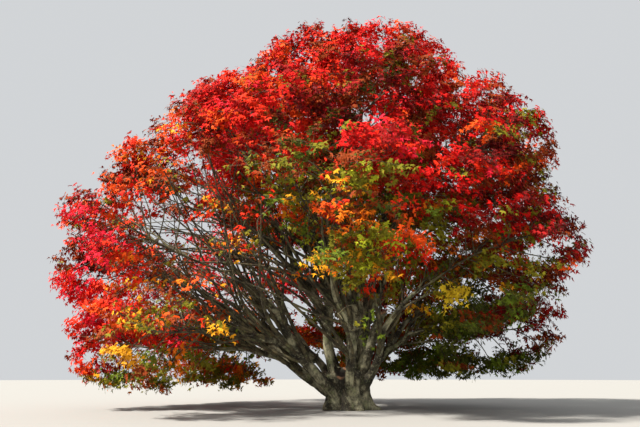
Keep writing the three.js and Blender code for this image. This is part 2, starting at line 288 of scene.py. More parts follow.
@dataclass(frozen=True)
class LeafFinish:
    """A leaf's plain tint."""

    name: str
    colour: str
    roughness: float = 0.7
    specular: float = 0.1

    def material(self) -> Material:
        """Make the tint's material.

        Returns:
            The material, one shader with plain values.
        """
        material = bpy.data.materials.new(f"leaf_{self.name}")
        material.use_nodes = True
        shader = material.node_tree.nodes["Principled BSDF"]
        shader.inputs["Base Color"].default_value = linear(self.colour)
        shader.inputs["Roughness"].default_value = self.roughness
        shader.inputs["Specular IOR Level"].default_value = self.specular
        material.diffuse_color = linear(self.colour)
        return material


class Tint(Enum):
    """The tints that the leaves turn in autumn."""

    CRIMSON = LeafFinish("crimson", "c91410")
    ROSE = LeafFinish("rose", "de2036")
    SCARLET = LeafFinish("scarlet", "da2c10")
    EMBER = LeafFinish("ember", "dc4c10")
    ORANGE = LeafFinish("orange", "dc7012")
    AMBER = LeafFinish("amber", "d8941a")
    GOLD = LeafFinish("gold", "dcbc2c")
    LIME = LeafFinish("lime", "a0a422")
    OLIVE = LeafFinish("olive", "76701a")
    GREEN = LeafFinish("green", "5c6c1a")
    MOSS = LeafFinish("moss", "484c18")
    MAROON = LeafFinish("maroon", "651412")
    RUSSET = LeafFinish("russet", "843610")
    WINE = LeafFinish("wine", "921210")


TINTS = list(Tint)


class Palette(Enum):
    """How much of each tint the sprays of one region hold."""

    REDS = {Tint.CRIMSON: 5, Tint.SCARLET: 3.5, Tint.WINE: 2, Tint.ROSE: 1.2, Tint.EMBER: 1.4, Tint.RUSSET: 1}
    ROSES = {Tint.ROSE: 4, Tint.SCARLET: 3, Tint.CRIMSON: 2}
    DARK_REDS = {Tint.WINE: 4, Tint.MAROON: 2.5, Tint.CRIMSON: 3, Tint.RUSSET: 2, Tint.OLIVE: 1.5}
    FLAMES = {Tint.SCARLET: 4, Tint.EMBER: 3, Tint.CRIMSON: 2, Tint.ORANGE: 1}
    EMBERS = {
        Tint.EMBER: 3, Tint.ORANGE: 3.5, Tint.AMBER: 1.8, Tint.SCARLET: 1, Tint.RUSSET: 2, Tint.OLIVE: 1.2,
    }
    BROWNS = {Tint.RUSSET: 5, Tint.MAROON: 3, Tint.OLIVE: 1, Tint.WINE: 1.5, Tint.MOSS: 0.5, Tint.EMBER: 0.6}
    MIXED = {Tint.OLIVE: 2, Tint.EMBER: 2, Tint.RUSSET: 2, Tint.AMBER: 1, Tint.SCARLET: 1}
    OLIVES = {
        Tint.OLIVE: 5, Tint.AMBER: 1.2, Tint.LIME: 0.3, Tint.RUSSET: 2, Tint.GREEN: 1.5, Tint.ORANGE: 0.8,
    }
    MIDDLES = {
        Tint.OLIVE: 4, Tint.AMBER: 0.4, Tint.RUSSET: 2.4, Tint.ORANGE: 0.3, Tint.GREEN: 1.4, Tint.LIME: 0.5,
        Tint.MOSS: 0.8, Tint.SCARLET: 1.4,
    }
    RUSTS = {Tint.RUSSET: 3, Tint.EMBER: 3, Tint.SCARLET: 2, Tint.ORANGE: 1.5, Tint.AMBER: 1}
    LIMES = {Tint.LIME: 4, Tint.GREEN: 2, Tint.OLIVE: 2}
    GREENS = {Tint.MOSS: 5, Tint.GREEN: 3, Tint.OLIVE: 2, Tint.RUSSET: 0.5}
    GOLDS = {Tint.GOLD: 3, Tint.AMBER: 3, Tint.OLIVE: 1}
    AMBERS = {Tint.AMBER: 3, Tint.ORANGE: 3, Tint.SCARLET: 1}


@dataclass(frozen=True)
class Zone:
    """A region of the crown whose sprays turn alike: its centre, how far it spreads, and its palette."""

    centre: Triple
    spread: Triple
    palette: Palette


# The dark zones on the crown's right side, away from the sun, are partly the leaves' own tints and partly
# painted shade
ZONES = [
    Zone((-0.4, -2.0, 8.6), (3.0, 5.0, 1.5), Palette.REDS),
    Zone((-0.8, -4.4, 6.5), (1.2, 2.2, 0.9), Palette.BROWNS),
    Zone((-2.0, -2.5, 8.4), (0.5, 2.5, 0.5), Palette.DARK_REDS),
    Zone((-0.4, -5.2, 5.5), (1.5, 2.0, 0.4), Palette.REDS),
    Zone((0.3, -5.3, 5.1), (1.2, 2.0, 0.5), Palette.DARK_REDS),
    Zone((1.9, -4.2, 5.4), (1.4, 2.5, 1.0), Palette.REDS),
    # Partly painted shade: dark reds and browns on the right side
    Zone((3.0, -3.2, 6.6), (1.3, 3.0, 0.8), Palette.DARK_REDS),
    Zone((3.2, -3.4, 5.5), (1.2, 2.5, 0.6), Palette.DARK_REDS),
    Zone((4.3, -1.0, 5.6), (1.2, 4.0, 1.0), Palette.BROWNS),
    Zone((-2.8, -3.2, 6.1), (1.6, 3.5, 1.2), Palette.REDS),
    Zone((-5.0, -1.5, 6.7), (1.3, 3.0, 0.8), Palette.RUSTS),
    Zone((-5.8, -1.5, 5.7), (0.9, 3.0, 0.5), Palette.BROWNS),
    Zone((-4.8, -2.5, 4.8), (1.0, 3.0, 0.6), Palette.FLAMES),
    Zone((-6.2, -2.0, 4.0), (1.1, 3.0, 0.6), Palette.BROWNS),
    Zone((-5.9, -2.0, 3.1), (1.1, 3.5, 0.8), Palette.ROSES),
    Zone((-2.8, -1.5, 3.3), (1.5, 4.5, 1.0), Palette.EMBERS),
    Zone((-3.3, -2.0, 4.7), (1.2, 4.0, 0.5), Palette.MIXED),
    Zone((-0.9, -4.4, 4.3), (1.7, 2.4, 0.8), Palette.MIDDLES),
    Zone((0.4, -5.0, 4.0), (0.9, 1.4, 0.3), Palette.REDS),
    Zone((0.1, -4.4, 3.0), (1.3, 2.0, 0.5), Palette.OLIVES),
    Zone((-1.5, -4.4, 3.4), (0.7, 1.2, 0.3), Palette.ROSES),
    Zone((1.0, -4.4, 3.5), (0.5, 1.0, 0.3), Palette.FLAMES),
    Zone((-0.5, -3.8, 2.9), (0.4, 1.0, 0.25), Palette.AMBERS),
    Zone((0.4, -2.0, 2.9), (0.5, 1.2, 0.3), Palette.LIMES),
    Zone((0.7, 0.5, 2.9), (1.3, 2.5, 0.8), Palette.OLIVES),
    Zone((-0.3, -1.0, 4.7), (2.4, 2.2, 1.2), Palette.MIDDLES),
    Zone((2.6, -3.0, 3.6), (1.3, 2.5, 0.6), Palette.OLIVES),
    # Partly painted shade: dark reds and browns on the right side
    Zone((2.9, -3.4, 4.6), (1.4, 2.5, 0.7), Palette.DARK_REDS),
    Zone((4.9, -1.0, 3.7), (1.2, 4.0, 1.2), Palette.BROWNS),
    Zone((5.6, 0.0, 4.4), (0.8, 5.0, 0.8), Palette.BROWNS),
    Zone((2.1, -2.2, 2.75), (0.6, 1.2, 0.2), Palette.GOLDS),
    # Partly painted shade: dark greens and browns low on the right
    Zone((2.4, -0.5, 1.7), (1.6, 3.0, 0.8), Palette.GREENS),
    Zone((4.2, -1.0, 2.3), (1.0, 3.5, 0.6), Palette.BROWNS),
    Zone((-5.4, -2.0, 1.8), (1.0, 3.5, 0.5), Palette.REDS),
    Zone((-3.3, -3.2, 2.1), (1.1, 2.5, 0.5), Palette.MIXED),
    Zone((-1.6, -3.3, 1.7), (1.0, 2.0, 0.4), Palette.EMBERS),
    Zone((-3.8, -2.0, 0.9), (1.2, 3.0, 0.5), Palette.OLIVES),
    Zone((-3.5, -3.3, 1.1), (0.5, 1.0, 0.25), Palette.ROSES),
    Zone((-2.0, 0.5, 1.1), (1.5, 4.0, 0.6), Palette.OLIVES),
    Zone((-3.4, 4.4, 4.0), (2.4, 1.2, 1.8), Palette.ROSES),
    Zone((0.0, 4.4, 4.9), (3.0, 1.8, 1.5), Palette.FLAMES),
    # Partly painted shade: browns at the back right
    Zone((3.0, 3.8, 2.4), (2.2, 1.8, 1.0), Palette.BROWNS),
    Zone((-3.2, 4.2, 1.7), (2.2, 1.8, 0.8), Palette.EMBERS),
]


@dataclass(frozen=True)
class Clearing:
    """A part of the crown where the sky shows through: its centre, its spread and how much it thins."""

    centre: Triple
    spread: Triple
    thins: float

    def at(self, points: Array) -> Array:
        """Return how much the clearing thins the leaves at each place."""
        return self.thins * np.exp(-0.5 * (((points - self.centre) / self.spread) ** 2).sum(axis=-1))


CLEARINGS = [
    Clearing((-3.8, 0.0, 3.5), (1.3, 7.0, 1.0), 0.75),
    Clearing((-4.1, 0.0, 5.5), (0.7, 6.0, 0.4), 0.4),
    Clearing((-2.5, -4.6, 3.1), (1.5, 2.2, 1.0), 0.95),
    Clearing((-2.6, -4.4, 2.0), (1.4, 2.0, 0.5), 0.85),
    Clearing((-3.5, -3.8, 4.4), (1.1, 1.8, 0.6), 0.75),
    Clearing((-1.4, -4.4, 4.3), (0.8, 1.5, 0.6), 0.5),
    Clearing((-2.0, -0.5, 2.8), (1.1, 5.0, 0.6), 0.75),
    Clearing((1.0, -0.5, 2.8), (0.8, 5.0, 0.5), 0.4),
    Clearing((4.1, -0.5, 3.0), (0.7, 5.0, 0.25), 0.6),
    Clearing((-0.4, -3.0, 1.7), (1.2, 2.5, 0.5), 0.85),
    Clearing((-5.2, 0.0, 4.3), (0.7, 5.0, 0.4), 0.5),
    Clearing((5.7, -2.6, 4.6), (0.5, 2.6, 0.6), 0.98),
]


@dataclass(frozen=True)
class Tier:
    """A ring of masses, each carried by its own bough. Angles are in degrees, and 270 faces the viewer."""

    name: str
    slot: str
    count: int
    first: float
    step: float
    height: float
    reach: float
    tilt: float
    long: float
    wide: float
    deep: float
    girth: float
    front_rise: float = 0.0
    left_drop: float = 0.0
    left_reach: float = 0.0
    source: str = "fork"
    ring: float = 0.0
    base: float = 0.0
    lift: float = 0.0
    lean: float = 0.0
    leaves_at: float = 0.0


TIERS = [
    Tier("lower", "foliage_orange", 7, 18, 51.4, 3.05, 4.425, 18, 2.36, 2.68, 1.56, 0.122, front_rise=0.87,
         left_drop=-0.16, left_reach=0.3, ring=0.3, base=0.29, lift=42, lean=12),
    Tier("upper", "foliage_scarlet", 5, 62, 72, 6.78, 2.79, 41, 2.17, 2.58, 1.65, 0.112, front_rise=-0.1,
         left_drop=0.22, left_reach=-0.29, ring=0.16, base=0.48, lift=62, lean=4),
    Tier("leader", "foliage_crimson", 1, 0, 360, 8.84, 0.74, 67, 1.47, 2.16, 2.2, 0.136, base=0.56, lift=86),
    Tier("skirt", "foliage_olive", 6, -9, 46.5, 1.85, 4.02, 3, 2.0, 2.51, 1.22, 0.08, left_drop=0.255,
         left_reach=0.17, source="lower", leaves_at=0.36),
    Tier("middle", "foliage_scarlet", 6, 8, 60, 5.01, 3.75, 27, 2.4, 2.71, 1.6, 0.08, front_rise=0.27,
         left_drop=0.05, left_reach=-0.12, source="upper", leaves_at=0.3),
    Tier("peak", "foliage_crimson", 1, 180, 360, 8.565, 1.48, 59, 1.64, 2.15, 2.0, 0.074, source="leader",
         leaves_at=0.45),
]


class Space:
    """The space of one foliage mass: an ellipsoid, less what lies nearer to another mass."""

    def __init__(self, tier: Tier, number: int, draw: SeededDraw) -> None:
        """Place the space in its tier's ring.

        Args:
            tier: The ring that it belongs to.
            number: Its place in the ring.
            draw: The seeded numbers.
        """
        azimuth = tier.first + tier.step * number
        front = max(0.0, -math.sin(math.radians(azimuth)))
        left = max(0.0, -math.cos(math.radians(azimuth)))
        self.tier = tier
        self.name = f"{tier.name}_{number + 1}" if tier.count > 1 else tier.name
        self.azimuth = azimuth + draw.spread(JITTER_AZIMUTH)
        level = tier.height + tier.front_rise * front * front - tier.left_drop * left
        height = level + draw.spread(JITTER_HEIGHT)
        reach = tier.reach + tier.left_reach * left + draw.spread(JITTER_REACH)
        flat = aim(self.azimuth, 0)
        x = CROWN_SHIFT + CROWN_LEAN * height + reach * flat[0]
        self.centre = np.array((x, reach * CROWN_FLATTEN * flat[1], height))
        self.outward = aim(self.azimuth, tier.tilt)
        self.sideways = aim(self.azimuth + 90, 0)
        self.above = np.cross(self.outward, self.sideways)
        self.entry = self.centre - self.outward * tier.long * ENTRY_SHARE
        self.walls: list[tuple[Array, float]] = []

    def scaled(self, vectors: Array) -> Array:
        """Return vectors in the ellipsoid's own scale, where its skin is at length 1."""
        tier = self.tier
        axes = np.stack((self.outward / tier.long, self.sideways / tier.wide, self.above / tier.deep))
        return vectors @ axes.T

    def holds(self, points: Array, swell: float = 1.0, ease: float = 0.0) -> Array:
        """Say which points lie in the space.

        Args:
            points: Places, one a row.
            swell: How much larger the ellipsoid counts.
            ease: How far past a wall still counts.

        Returns:
            True or False for each.
        """
        inside = np.linalg.norm(self.scaled(points - self.centre), axis=-1) <= swell
        for normal, limit in self.walls:
            inside &= points @ normal < limit + ease
        return inside

    def room_ahead(self, point: Array, direction: Array) -> float:
        """Say how far a ray goes before it leaves the space.

        Args:
            point: Where the ray starts.
            direction: Its unit direction.

        Returns:
            The distance, not below 0.
        """
        p, d = self.scaled(point - self.centre), self.scaled(direction)
        b, c = p @ d / (d @ d), (p @ p - 1) / (d @ d)
        room = -b + math.sqrt(b * b - c) if b * b > c else 0.0
        for normal, limit in self.walls:
            speed = normal @ direction
            if speed > 0:
                room = min(room, (limit - normal @ point) / speed)
        return max(room, 0.0)


def openness(points: Array) -> Array:
    """Say how bare the crown is, from 0 on its skin to 1 where it has no leaves.

    Args:
        points: Places, one a row.

    Returns:
        A number for each.
    """
    leafy = np.prod([1 - clearing.at(points) for clearing in CLEARINGS], axis=0)
    valley = lattice_noise(np.atleast_2d(points) * VALLEY_SCALE, VALLEY_NOISE).reshape(points.shape[:-1])
    leafy = leafy * (1 - VALLEY_THINS * np.exp(-((valley / VALLEY_WIDTH) ** 2)))
    depth = 1 - shell(points)
    return 1 - leafy * (1 - INNER_THINNING * np.clip((depth - INNER_DEPTH) / INNER_SPAN, 0, 1))


def make_spaces() -> list[Space]:
    """Place every space and part each pair by a flat wall, nearer to the flatter one of the two.

    Returns:
        The spaces in the tiers' order.
    """
    draw = SeededDraw(SEED)
    spaces = [Space(tier, i, draw) for tier in TIERS for i in range(tier.count)]
    for a in spaces:
        for b in spaces:
            if a is not b:
                normal = unit(b.centre - a.centre)
                share = a.tier.deep / (a.tier.deep + b.tier.deep)
                a.walls.append((normal, normal @ (a.centre + (b.centre - a.centre) * share)))
    return spaces


class LimbLine:
    """A limb's middle line: a Bezier curve that wanders a little to either side."""

    NUDGE = 1e-4
    STEPS = 200

    def __init__(self, start: Array, start_aim: Array, end: Array, end_aim: Array,
                 draw: SeededDraw) -> None:
        """Lay the line.

        Args:
            start: Where it starts.
            start_aim: Its direction there.
            end: Where it ends.
            end_aim: Its direction there.
            draw: The seeded numbers.
        """
        self.span = float(np.linalg.norm(end - start))
        handle = self.span * HANDLE
        self.knots = np.stack((start, start + start_aim * handle, end - end_aim * handle, end))
        self.across = unit(np.cross(start_aim, end_aim + UP))
        self.turns = 1 + draw()
        self.phase = draw() * FULL_TURN

    def points(self, t: Array | float) -> Array:
        """Return the places at the shares t of the line."""
        t = np.asarray(t, dtype=float)[..., None]
        s = 1 - t
        a, b, c, d = self.knots
        curve = a * s**3 + b * 3 * s * s * t + c * 3 * s * t * t + d * t**3
        fade = np.sin(math.pi * t) ** 2 * self.span * WANDER
        return curve + self.across * fade * np.sin(FULL_TURN * self.turns * t + self.phase)

    def tangents(self, t: Array | float) -> Array:
        """Return the unit directions at the shares t of the line."""
        t = np.asarray(t, dtype=float)
        return unit(self.points(np.minimum(t + self.NUDGE, 1)) - self.points(np.maximum(t - self.NUDGE, 0)))

    def length(self) -> float:
        """Return the line's length."""
        places = self.points(np.linspace(0, 1, self.STEPS + 1))
        return float(np.linalg.norm(np.diff(places, axis=0), axis=1).sum())


@dataclass(frozen=True)
class BarkRelief:
    """How the bark stands out from a limb: flutes and lumps drawn out along it, and ridges."""

    flute: float = 0.036
    flute_scale: float = 4.2
    flute_stretch: float = 0.25
    lump: float = 0.012
    lump_scale: float = 7.5
    lump_stretch: float = 0.5
    ridge: float = 0.008
    ridge_scale: float = 15.0
    ridge_stretch: float = 0.16
    finer_share: float = 0.45
    finer_scale: float = 2.3
    full_at: float = 0.16
    noises: tuple[int, int, int, int] = (3, 4, 5, 7)

    def height(self, grain: Array, radius: Array | float) -> Array:
        """Say how far the skin stands out.

        Args:
            grain: Places in the bark's own grid, whose last number runs along the limb.
            radius: The limb's radius at each.

        Returns:
            The height over the limb's plain skin.
        """
        for_flutes, for_lumps, for_ridges, for_finer = self.noises
        flutes = lattice_noise(grain * self.flute_scale * (1, 1, self.flute_stretch), for_flutes)
        lumps = lattice_noise(grain * self.lump_scale * (1, 1, self.lump_stretch), for_lumps)
        fine = grain * self.ridge_scale * (1, 1, self.ridge_stretch)
        ridges = 1 - 2 * np.abs(lattice_noise(fine, for_ridges))
        ridges = ridges + self.finer_share * lattice_noise(fine * self.finer_scale, for_finer)
        share = np.minimum(1, np.asarray(radius) / self.full_at)
        return share * (self.flute * flutes + self.lump * lumps + self.ridge * ridges)


class ShaderSketch:
    """A material's nodes while they are being laid."""

    def __init__(self, name: str) -> None:
        """Start a material with its one shader."""
        self.material = bpy.data.materials.new(name)
        self.material.use_nodes = True
        self.nodes = self.material.node_tree.nodes
        self.links = self.material.node_tree.links
        self.shader = self.nodes["Principled BSDF"]

    def attribute(self, name: str, output: str = "Fac") -> Any:
        """Return the output that reads a named attribute of the mesh."""
        node = self.nodes.new("ShaderNodeAttribute")
        node.attribute_name = name
        return node.outputs[output]

    def noise(self, vector: Any, scale: float, detail: float, roughness: float) -> Any:
        """Add a noise.

        Args:
            vector: The output that gives its place.
            scale: How fine it is.
            detail: How many finer noises it holds.
            roughness: How strong those are.

        Returns:
            The noise's output.
        """
        node = self.nodes.new("ShaderNodeTexNoise")
        for key, number in (("Scale", scale), ("Detail", detail), ("Roughness", roughness)):
            node.inputs[key].default_value = number
        self.links.new(vector, node.inputs["Vector"])
        return node.outputs["Fac"]

    def ramp(self, value: Any, stops: list[tuple[float, str]]) -> Any:
        """Turn a value into a colour.

        Args:
            value: The output that gives the value.
            stops: Values with their colour codes.

        Returns:
            The colour's output.
        """
        node = self.nodes.new("ShaderNodeValToRGB")
        band = node.color_ramp
        while len(band.elements) < len(stops):
            band.elements.new(1.0)
        for element, (at, code) in zip(band.elements, stops):
            element.position = at
            element.color = linear(code)
        self.links.new(value, node.inputs["Fac"])
        return node.outputs["Color"]

    def mask(self, value: Any, low: float, high: float, start: float = 0.0, end: float = 1.0) -> Any:
        """Stretch a value.

        Args:
            value: The output that gives the value.
            low: What becomes start.
            high: What becomes end.
            start: The least result.
            end: The greatest result.

        Returns:
            The stretched value's output.
        """
        node = self.nodes.new("ShaderNodeMapRange")
        for key, number in (("From Min", low), ("From Max", high), ("To Min", start), ("To Max", end)):
            node.inputs[key].default_value = number
        self.links.new(value, node.inputs["Value"])
        return node.outputs["Result"]

    def mixed(self, factor: Any, below: Any, above: Any) -> Any:
        """Lay one colour over another.

        Args:
            factor: The output that says how much of the upper one shows.
            below: The lower colour's output or code.
            above: The upper colour's output or code.

        Returns:
            The mixed colour's output.
        """
        node = self.nodes.new("ShaderNodeMix")
        node.data_type = "RGBA"
        self.links.new(factor, node.inputs["Factor"])
        for socket, value in zip([s for s in node.inputs if s.type == "RGBA"], (below, above)):
            if isinstance(value, str):
                socket.default_value = linear(value)
            else:
                self.links.new(value, socket)
        return next(o for o in node.outputs if o.type == "RGBA")


@dataclass(frozen=True)
class BarkFinish:
    """Grey-brown bark, mottled, with pale plates and lichen, and painted shade in the crevices where its
    relief sinks.

    The noises are the streaks, clouds, specks and moss: how fine, how detailed and how rough each is.
    """

    name: str
    dark: str = "211d14"
    middle: str = "4a4432"
    pale: str = "b5b08e"
    lichen: str = "7f8658"
    # Painted shade: darkens the bark where its relief sinks into crevices and into the wound
    crevice_shade: str = "1f1a16"
    scar: str = "a87c5c"
    hollow: str = "20140e"
    scale: float = 1.0
    streak_stretch: float = 0.18
    noises: tuple[Triple, ...] = ((22, 6, 0.65), (2.1, 6, 0.65), (15, 6, 0.7), (3.3, 8, 0.7))
    cloud_stops: Triple = (0.38, 0.48, 0.6)
    rough_specks: Pair = (0.3, 0.7)
    roughness: Pair = (0.76, 0.96)
    bump_specks: Pair = (0.4, 0.6)
    bump: float = 0.45
    bump_depth: float = 0.025

    def material(self) -> Material:
        """Make the bark's material.

        Returns:
            The material. It reads the attributes grain, relief and scar, which are 0 where a piece has none.
        """
        sketch = ShaderSketch(self.name)
        place = sketch.nodes.new("ShaderNodeTexCoord").outputs["Object"]
        stretch = sketch.nodes.new("ShaderNodeMapping")
        stretch.inputs["Scale"].default_value = (1.0, 1.0, self.streak_stretch)
        sketch.links.new(sketch.attribute("grain", "Vector"), stretch.inputs["Vector"])
        places = (stretch.outputs["Vector"], place, place, place)
        streaks, clouds, specks, moss = (
            sketch.noise(at, fineness * self.scale, detail, roughness)
            for at, (fineness, detail, roughness) in zip(places, self.noises))
        base = sketch.ramp(clouds, list(zip(self.cloud_stops, (self.dark, self.middle, self.pale))))
        relief, scar = sketch.attribute("relief"), sketch.attribute("scar")
        # What masks each layer, where it starts and is full, how much of it shows then, and its colour
        layers = (
            (streaks, 0.44, 0.6, 0.65, self.dark),
            (specks, 0.55, 0.66, 0.7, self.pale),
            (moss, 0.55, 0.64, 0.6, self.lichen),
            # Painted shade in the crevices and the wound, where the relief sinks below the plain skin
            (relief, -0.006, -0.028, 0.85, self.crevice_shade),
            (scar, 0.25, 0.75, 0.9, self.scar),
            (scar, -0.2, -0.7, 0.95, self.hollow),
        )
        for value, low, high, share, colour in layers:
            base = sketch.mixed(sketch.mask(value, low, high, 0.0, share), base, colour)
        sketch.links.new(base, sketch.shader.inputs["Base Color"])
        rough = sketch.mask(specks, *self.rough_specks, *self.roughness)
        sketch.links.new(rough, sketch.shader.inputs["Roughness"])
        bump = sketch.nodes.new("ShaderNodeBump")
        bump.inputs["Strength"].default_value = self.bump
        bump.inputs["Distance"].default_value = self.bump_depth
        grit = sketch.mixed(sketch.mask(specks, *self.bump_specks), streaks, specks)
        sketch.links.new(grit, bump.inputs["Height"])
        sketch.links.new(bump.outputs["Normal"], sketch.shader.inputs["Normal"])
        sketch.material.diffuse_color = linear(self.middle)
        return sketch.material


def hub_grain(points: Array) -> Array:
    """Return the bark's grid at places on the trunk, whose lines fan out from the hub."""
    off = points - HUB
    reach = np.linalg.norm(off, axis=-1, keepdims=True)
    return np.concatenate((off[..., :2] / reach * HUB_SPAN, reach), axis=-1)


@dataclass
class Bough:
    """One limb of the fork or of another bough, which ends where it enters its mass."""

    space: Space
    draw: SeededDraw
    others: list["Bough"]
    sides: int = 22
    ring_step: float = 0.055
    collar: float = 0.5
    overlap: float = 0.4
    graft: float = 0.7
    collar_spread: float = 0.9
    seat: Pair = (0.9, 1.02)
    fewest_rings: int = 12
    relief: BarkRelief = field(default_factory=BarkRelief)
    parent: "Bough | None" = None
    children: int = 0

    def __post_init__(self) -> None:
        """Lay the bough's line by the source's rule."""
        space, tier = self.space, self.space.tier
        azimuth = space.azimuth
        bias = GIRTH_BIAS * math.cos(math.radians(azimuth - GIRTH_TOWARDS))
        self.root_radius = tier.girth * (1 + bias)
        start = aim(azimuth, 0) * tier.ring + UP * tier.base
        start_aim = aim(azimuth, tier.lift + tier.lean * math.cos(math.radians(azimuth)))
        if tier.source != "fork":
            near = [b for b in self.others if b.space.tier.name == tier.source and b.children < CHILDREN_MOST]
            self.parent = min(near, key=lambda b: abs(past(b.space.azimuth, azimuth)))
            self.leaves = tier.leaves_at + CHILD_STEP * self.parent.children
            self.parent.children += 1
            start = self.parent.line.points(self.leaves)
            onward = unit(space.entry - start)
            tangent = self.parent.line.tangents(self.leaves)
            start_aim = unit(tangent + (onward - tangent) * CHILD_TURN)
            self.root_radius = min(self.root_radius, float(self.parent.radius_at(self.leaves)) * CHILD_GIRTH)
        self.line = LimbLine(start, start_aim, space.entry, space.outward, self.draw)
        self.length = self.line.length()
        self.stub = 0.0 if self.parent else STUB_LENGTH / self.length

    def radius_at(self, t: Array | float) -> Array:
        """Return the radius at the shares t of the line."""
        return TIP_RADIUS + (self.root_radius - TIP_RADIUS) * np.maximum(0, 1 - np.asarray(t)) ** TAPER_POWER

    def frames(self, t: Array) -> tuple[Array, Array]:
        """Return two unit directions across the line at the shares t, at right angles to each other."""
        tangent = self.line.tangents(t)
        lean = (tangent @ self.line.across)[:, None]
        normal = unit(self.line.across - tangent * lean)
        return normal, np.cross(tangent, normal)

    def tube(self, t: Array, radii: Array, sides: int) -> tuple[Array, Array]:
        """Wrap rings of points round the line.

        Args:
            t: The rings' shares of the line.
            radii: Their radii.
            sides: Points round each.

        Returns:
            The points, and each one's place in its ring's own plane.
        """
        normal, binormal = self.frames(t)
        around = ring_angles(sides)
        flat = np.stack((np.cos(around), np.sin(around)), axis=-1) * radii[:, None, None]
        out = normal[:, None] * flat[..., :1] + binormal[:, None] * flat[..., 1:]
        return self.line.points(t)[:, None] + out, flat

    def grain(self, t: Array, places: Array, flat: Array) -> Array:
        """Lay the bark's grid on the tube, and pass from the trunk's grid to the limb's own past the seam.

        Args:
            t: The rings' shares of the line.
            places: The rings' points.
            flat: Each point's place in its ring's own plane.

        Returns:
            The grid's numbers at each point.
        """
        along = np.broadcast_to(((t - self.stub) * self.length)[:, None, None], (*flat.shape[:2], 1))
        if self.parent:
            return np.concatenate((flat + self.space.azimuth, along), axis=-1)
        seam = np.array((self.stub,))
        normal, binormal = (axes[0, :2] for axes in self.frames(seam))
        first = unit(normal)
        second = np.array((-first[1], first[0]))
        second *= math.copysign(1, binormal @ second)
        middle = hub_grain(self.line.points(seam))[0]
        own = (flat[..., :1] * first + flat[..., 1:] * second) * HUB_SPAN / middle[2] + middle[:2]
        own = np.concatenate((own, along + middle[2]), axis=-1)
        part = eased(np.clip(along / self.graft, 0, 1))
        return hub_grain(places) * (1 - part) + own * part

    def bark_mesh(self) -> Mesh:
        """Make the bough's bark, whose root starts inside what carries it.

        Returns:
            The mesh, with the attributes grain and relief.
        """
        start = max(0.0, self.stub - self.overlap / self.length)
        rings = max(self.fewest_rings, round((1 - start) * self.length / self.ring_step))
        t = np.linspace(start, 1, rings + 1)
        radii = self.radius_at(t)
        if self.parent:
            width = float(self.parent.radius_at(self.leaves))
            away = np.maximum(0, t * self.length - width)
            radii = radii * (1 + self.collar * np.exp(-away / (self.collar_spread * width)))
        else:
            radii = radii * np.interp((t - start) * self.length, (0, self.overlap), self.seat)
        places, flat = self.tube(t, radii, self.sides)
        grain = self.grain(t, places, flat).reshape(-1, 3)
        height = self.relief.height(grain, np.repeat(radii, self.sides))
        out = unit(places - self.line.points(t)[:, None]).reshape(-1, 3)
        points = places.reshape(-1, 3) + out * height[:, None]
        mesh = mesh_of(f"limb_{self.space.name}", points, ring_faces(rings + 1, self.sides))
        write_bark(mesh, grain, height, np.zeros(len(grain)))
        return mesh


def ring_faces(rings: int, sides: int) -> list:
    """Join rings of points into the skin of a closed tube.

    Args:
        rings: How many rings.
        sides: Points in each.

    Returns:
        The faces, with a face over each end.
    """
    ring, side = np.meshgrid(np.arange(rings - 1), np.arange(sides), indexing="ij")
    here = ring * sides + side
    beside = ring * sides + (side + 1) % sides
    quads = np.stack((here, beside, beside + sides, here + sides), axis=-1).reshape(-1, 4)
    last = (rings - 1) * sides
    return [*quads.tolist(), list(range(sides))[::-1], list(range(last, last + sides))]


def write_bark(mesh: Mesh, grain: Array, relief: Array, scar: Array) -> None:
    """Keep the bark's grid, relief and scars on its mesh, and shade it smooth.

    Args:
        mesh: The bark's mesh.
        grain: The bark's grid at each point.
        relief: The height of each point over the plain skin.
        scar: How much of a scar each point is, from 0 to 1.
    """
    write(mesh, "grain", "FLOAT_VECTOR", grain)
    write(mesh, "relief", "FLOAT", relief)
    write(mesh, "scar", "FLOAT", scar)
    mesh.shade_smooth()


def make_boughs(spaces: list[Space]) -> list[Bough]:
    """Lay a bough to every space.

    Args:
        spaces: The masses' spaces.

    Returns:
        The boughs in the same order.
    """
    draw = SeededDraw(SEED + 1)
    boughs: list[Bough] = []
    for space in spaces:
        boughs.append(Bough(space, draw, boughs))
    return boughs


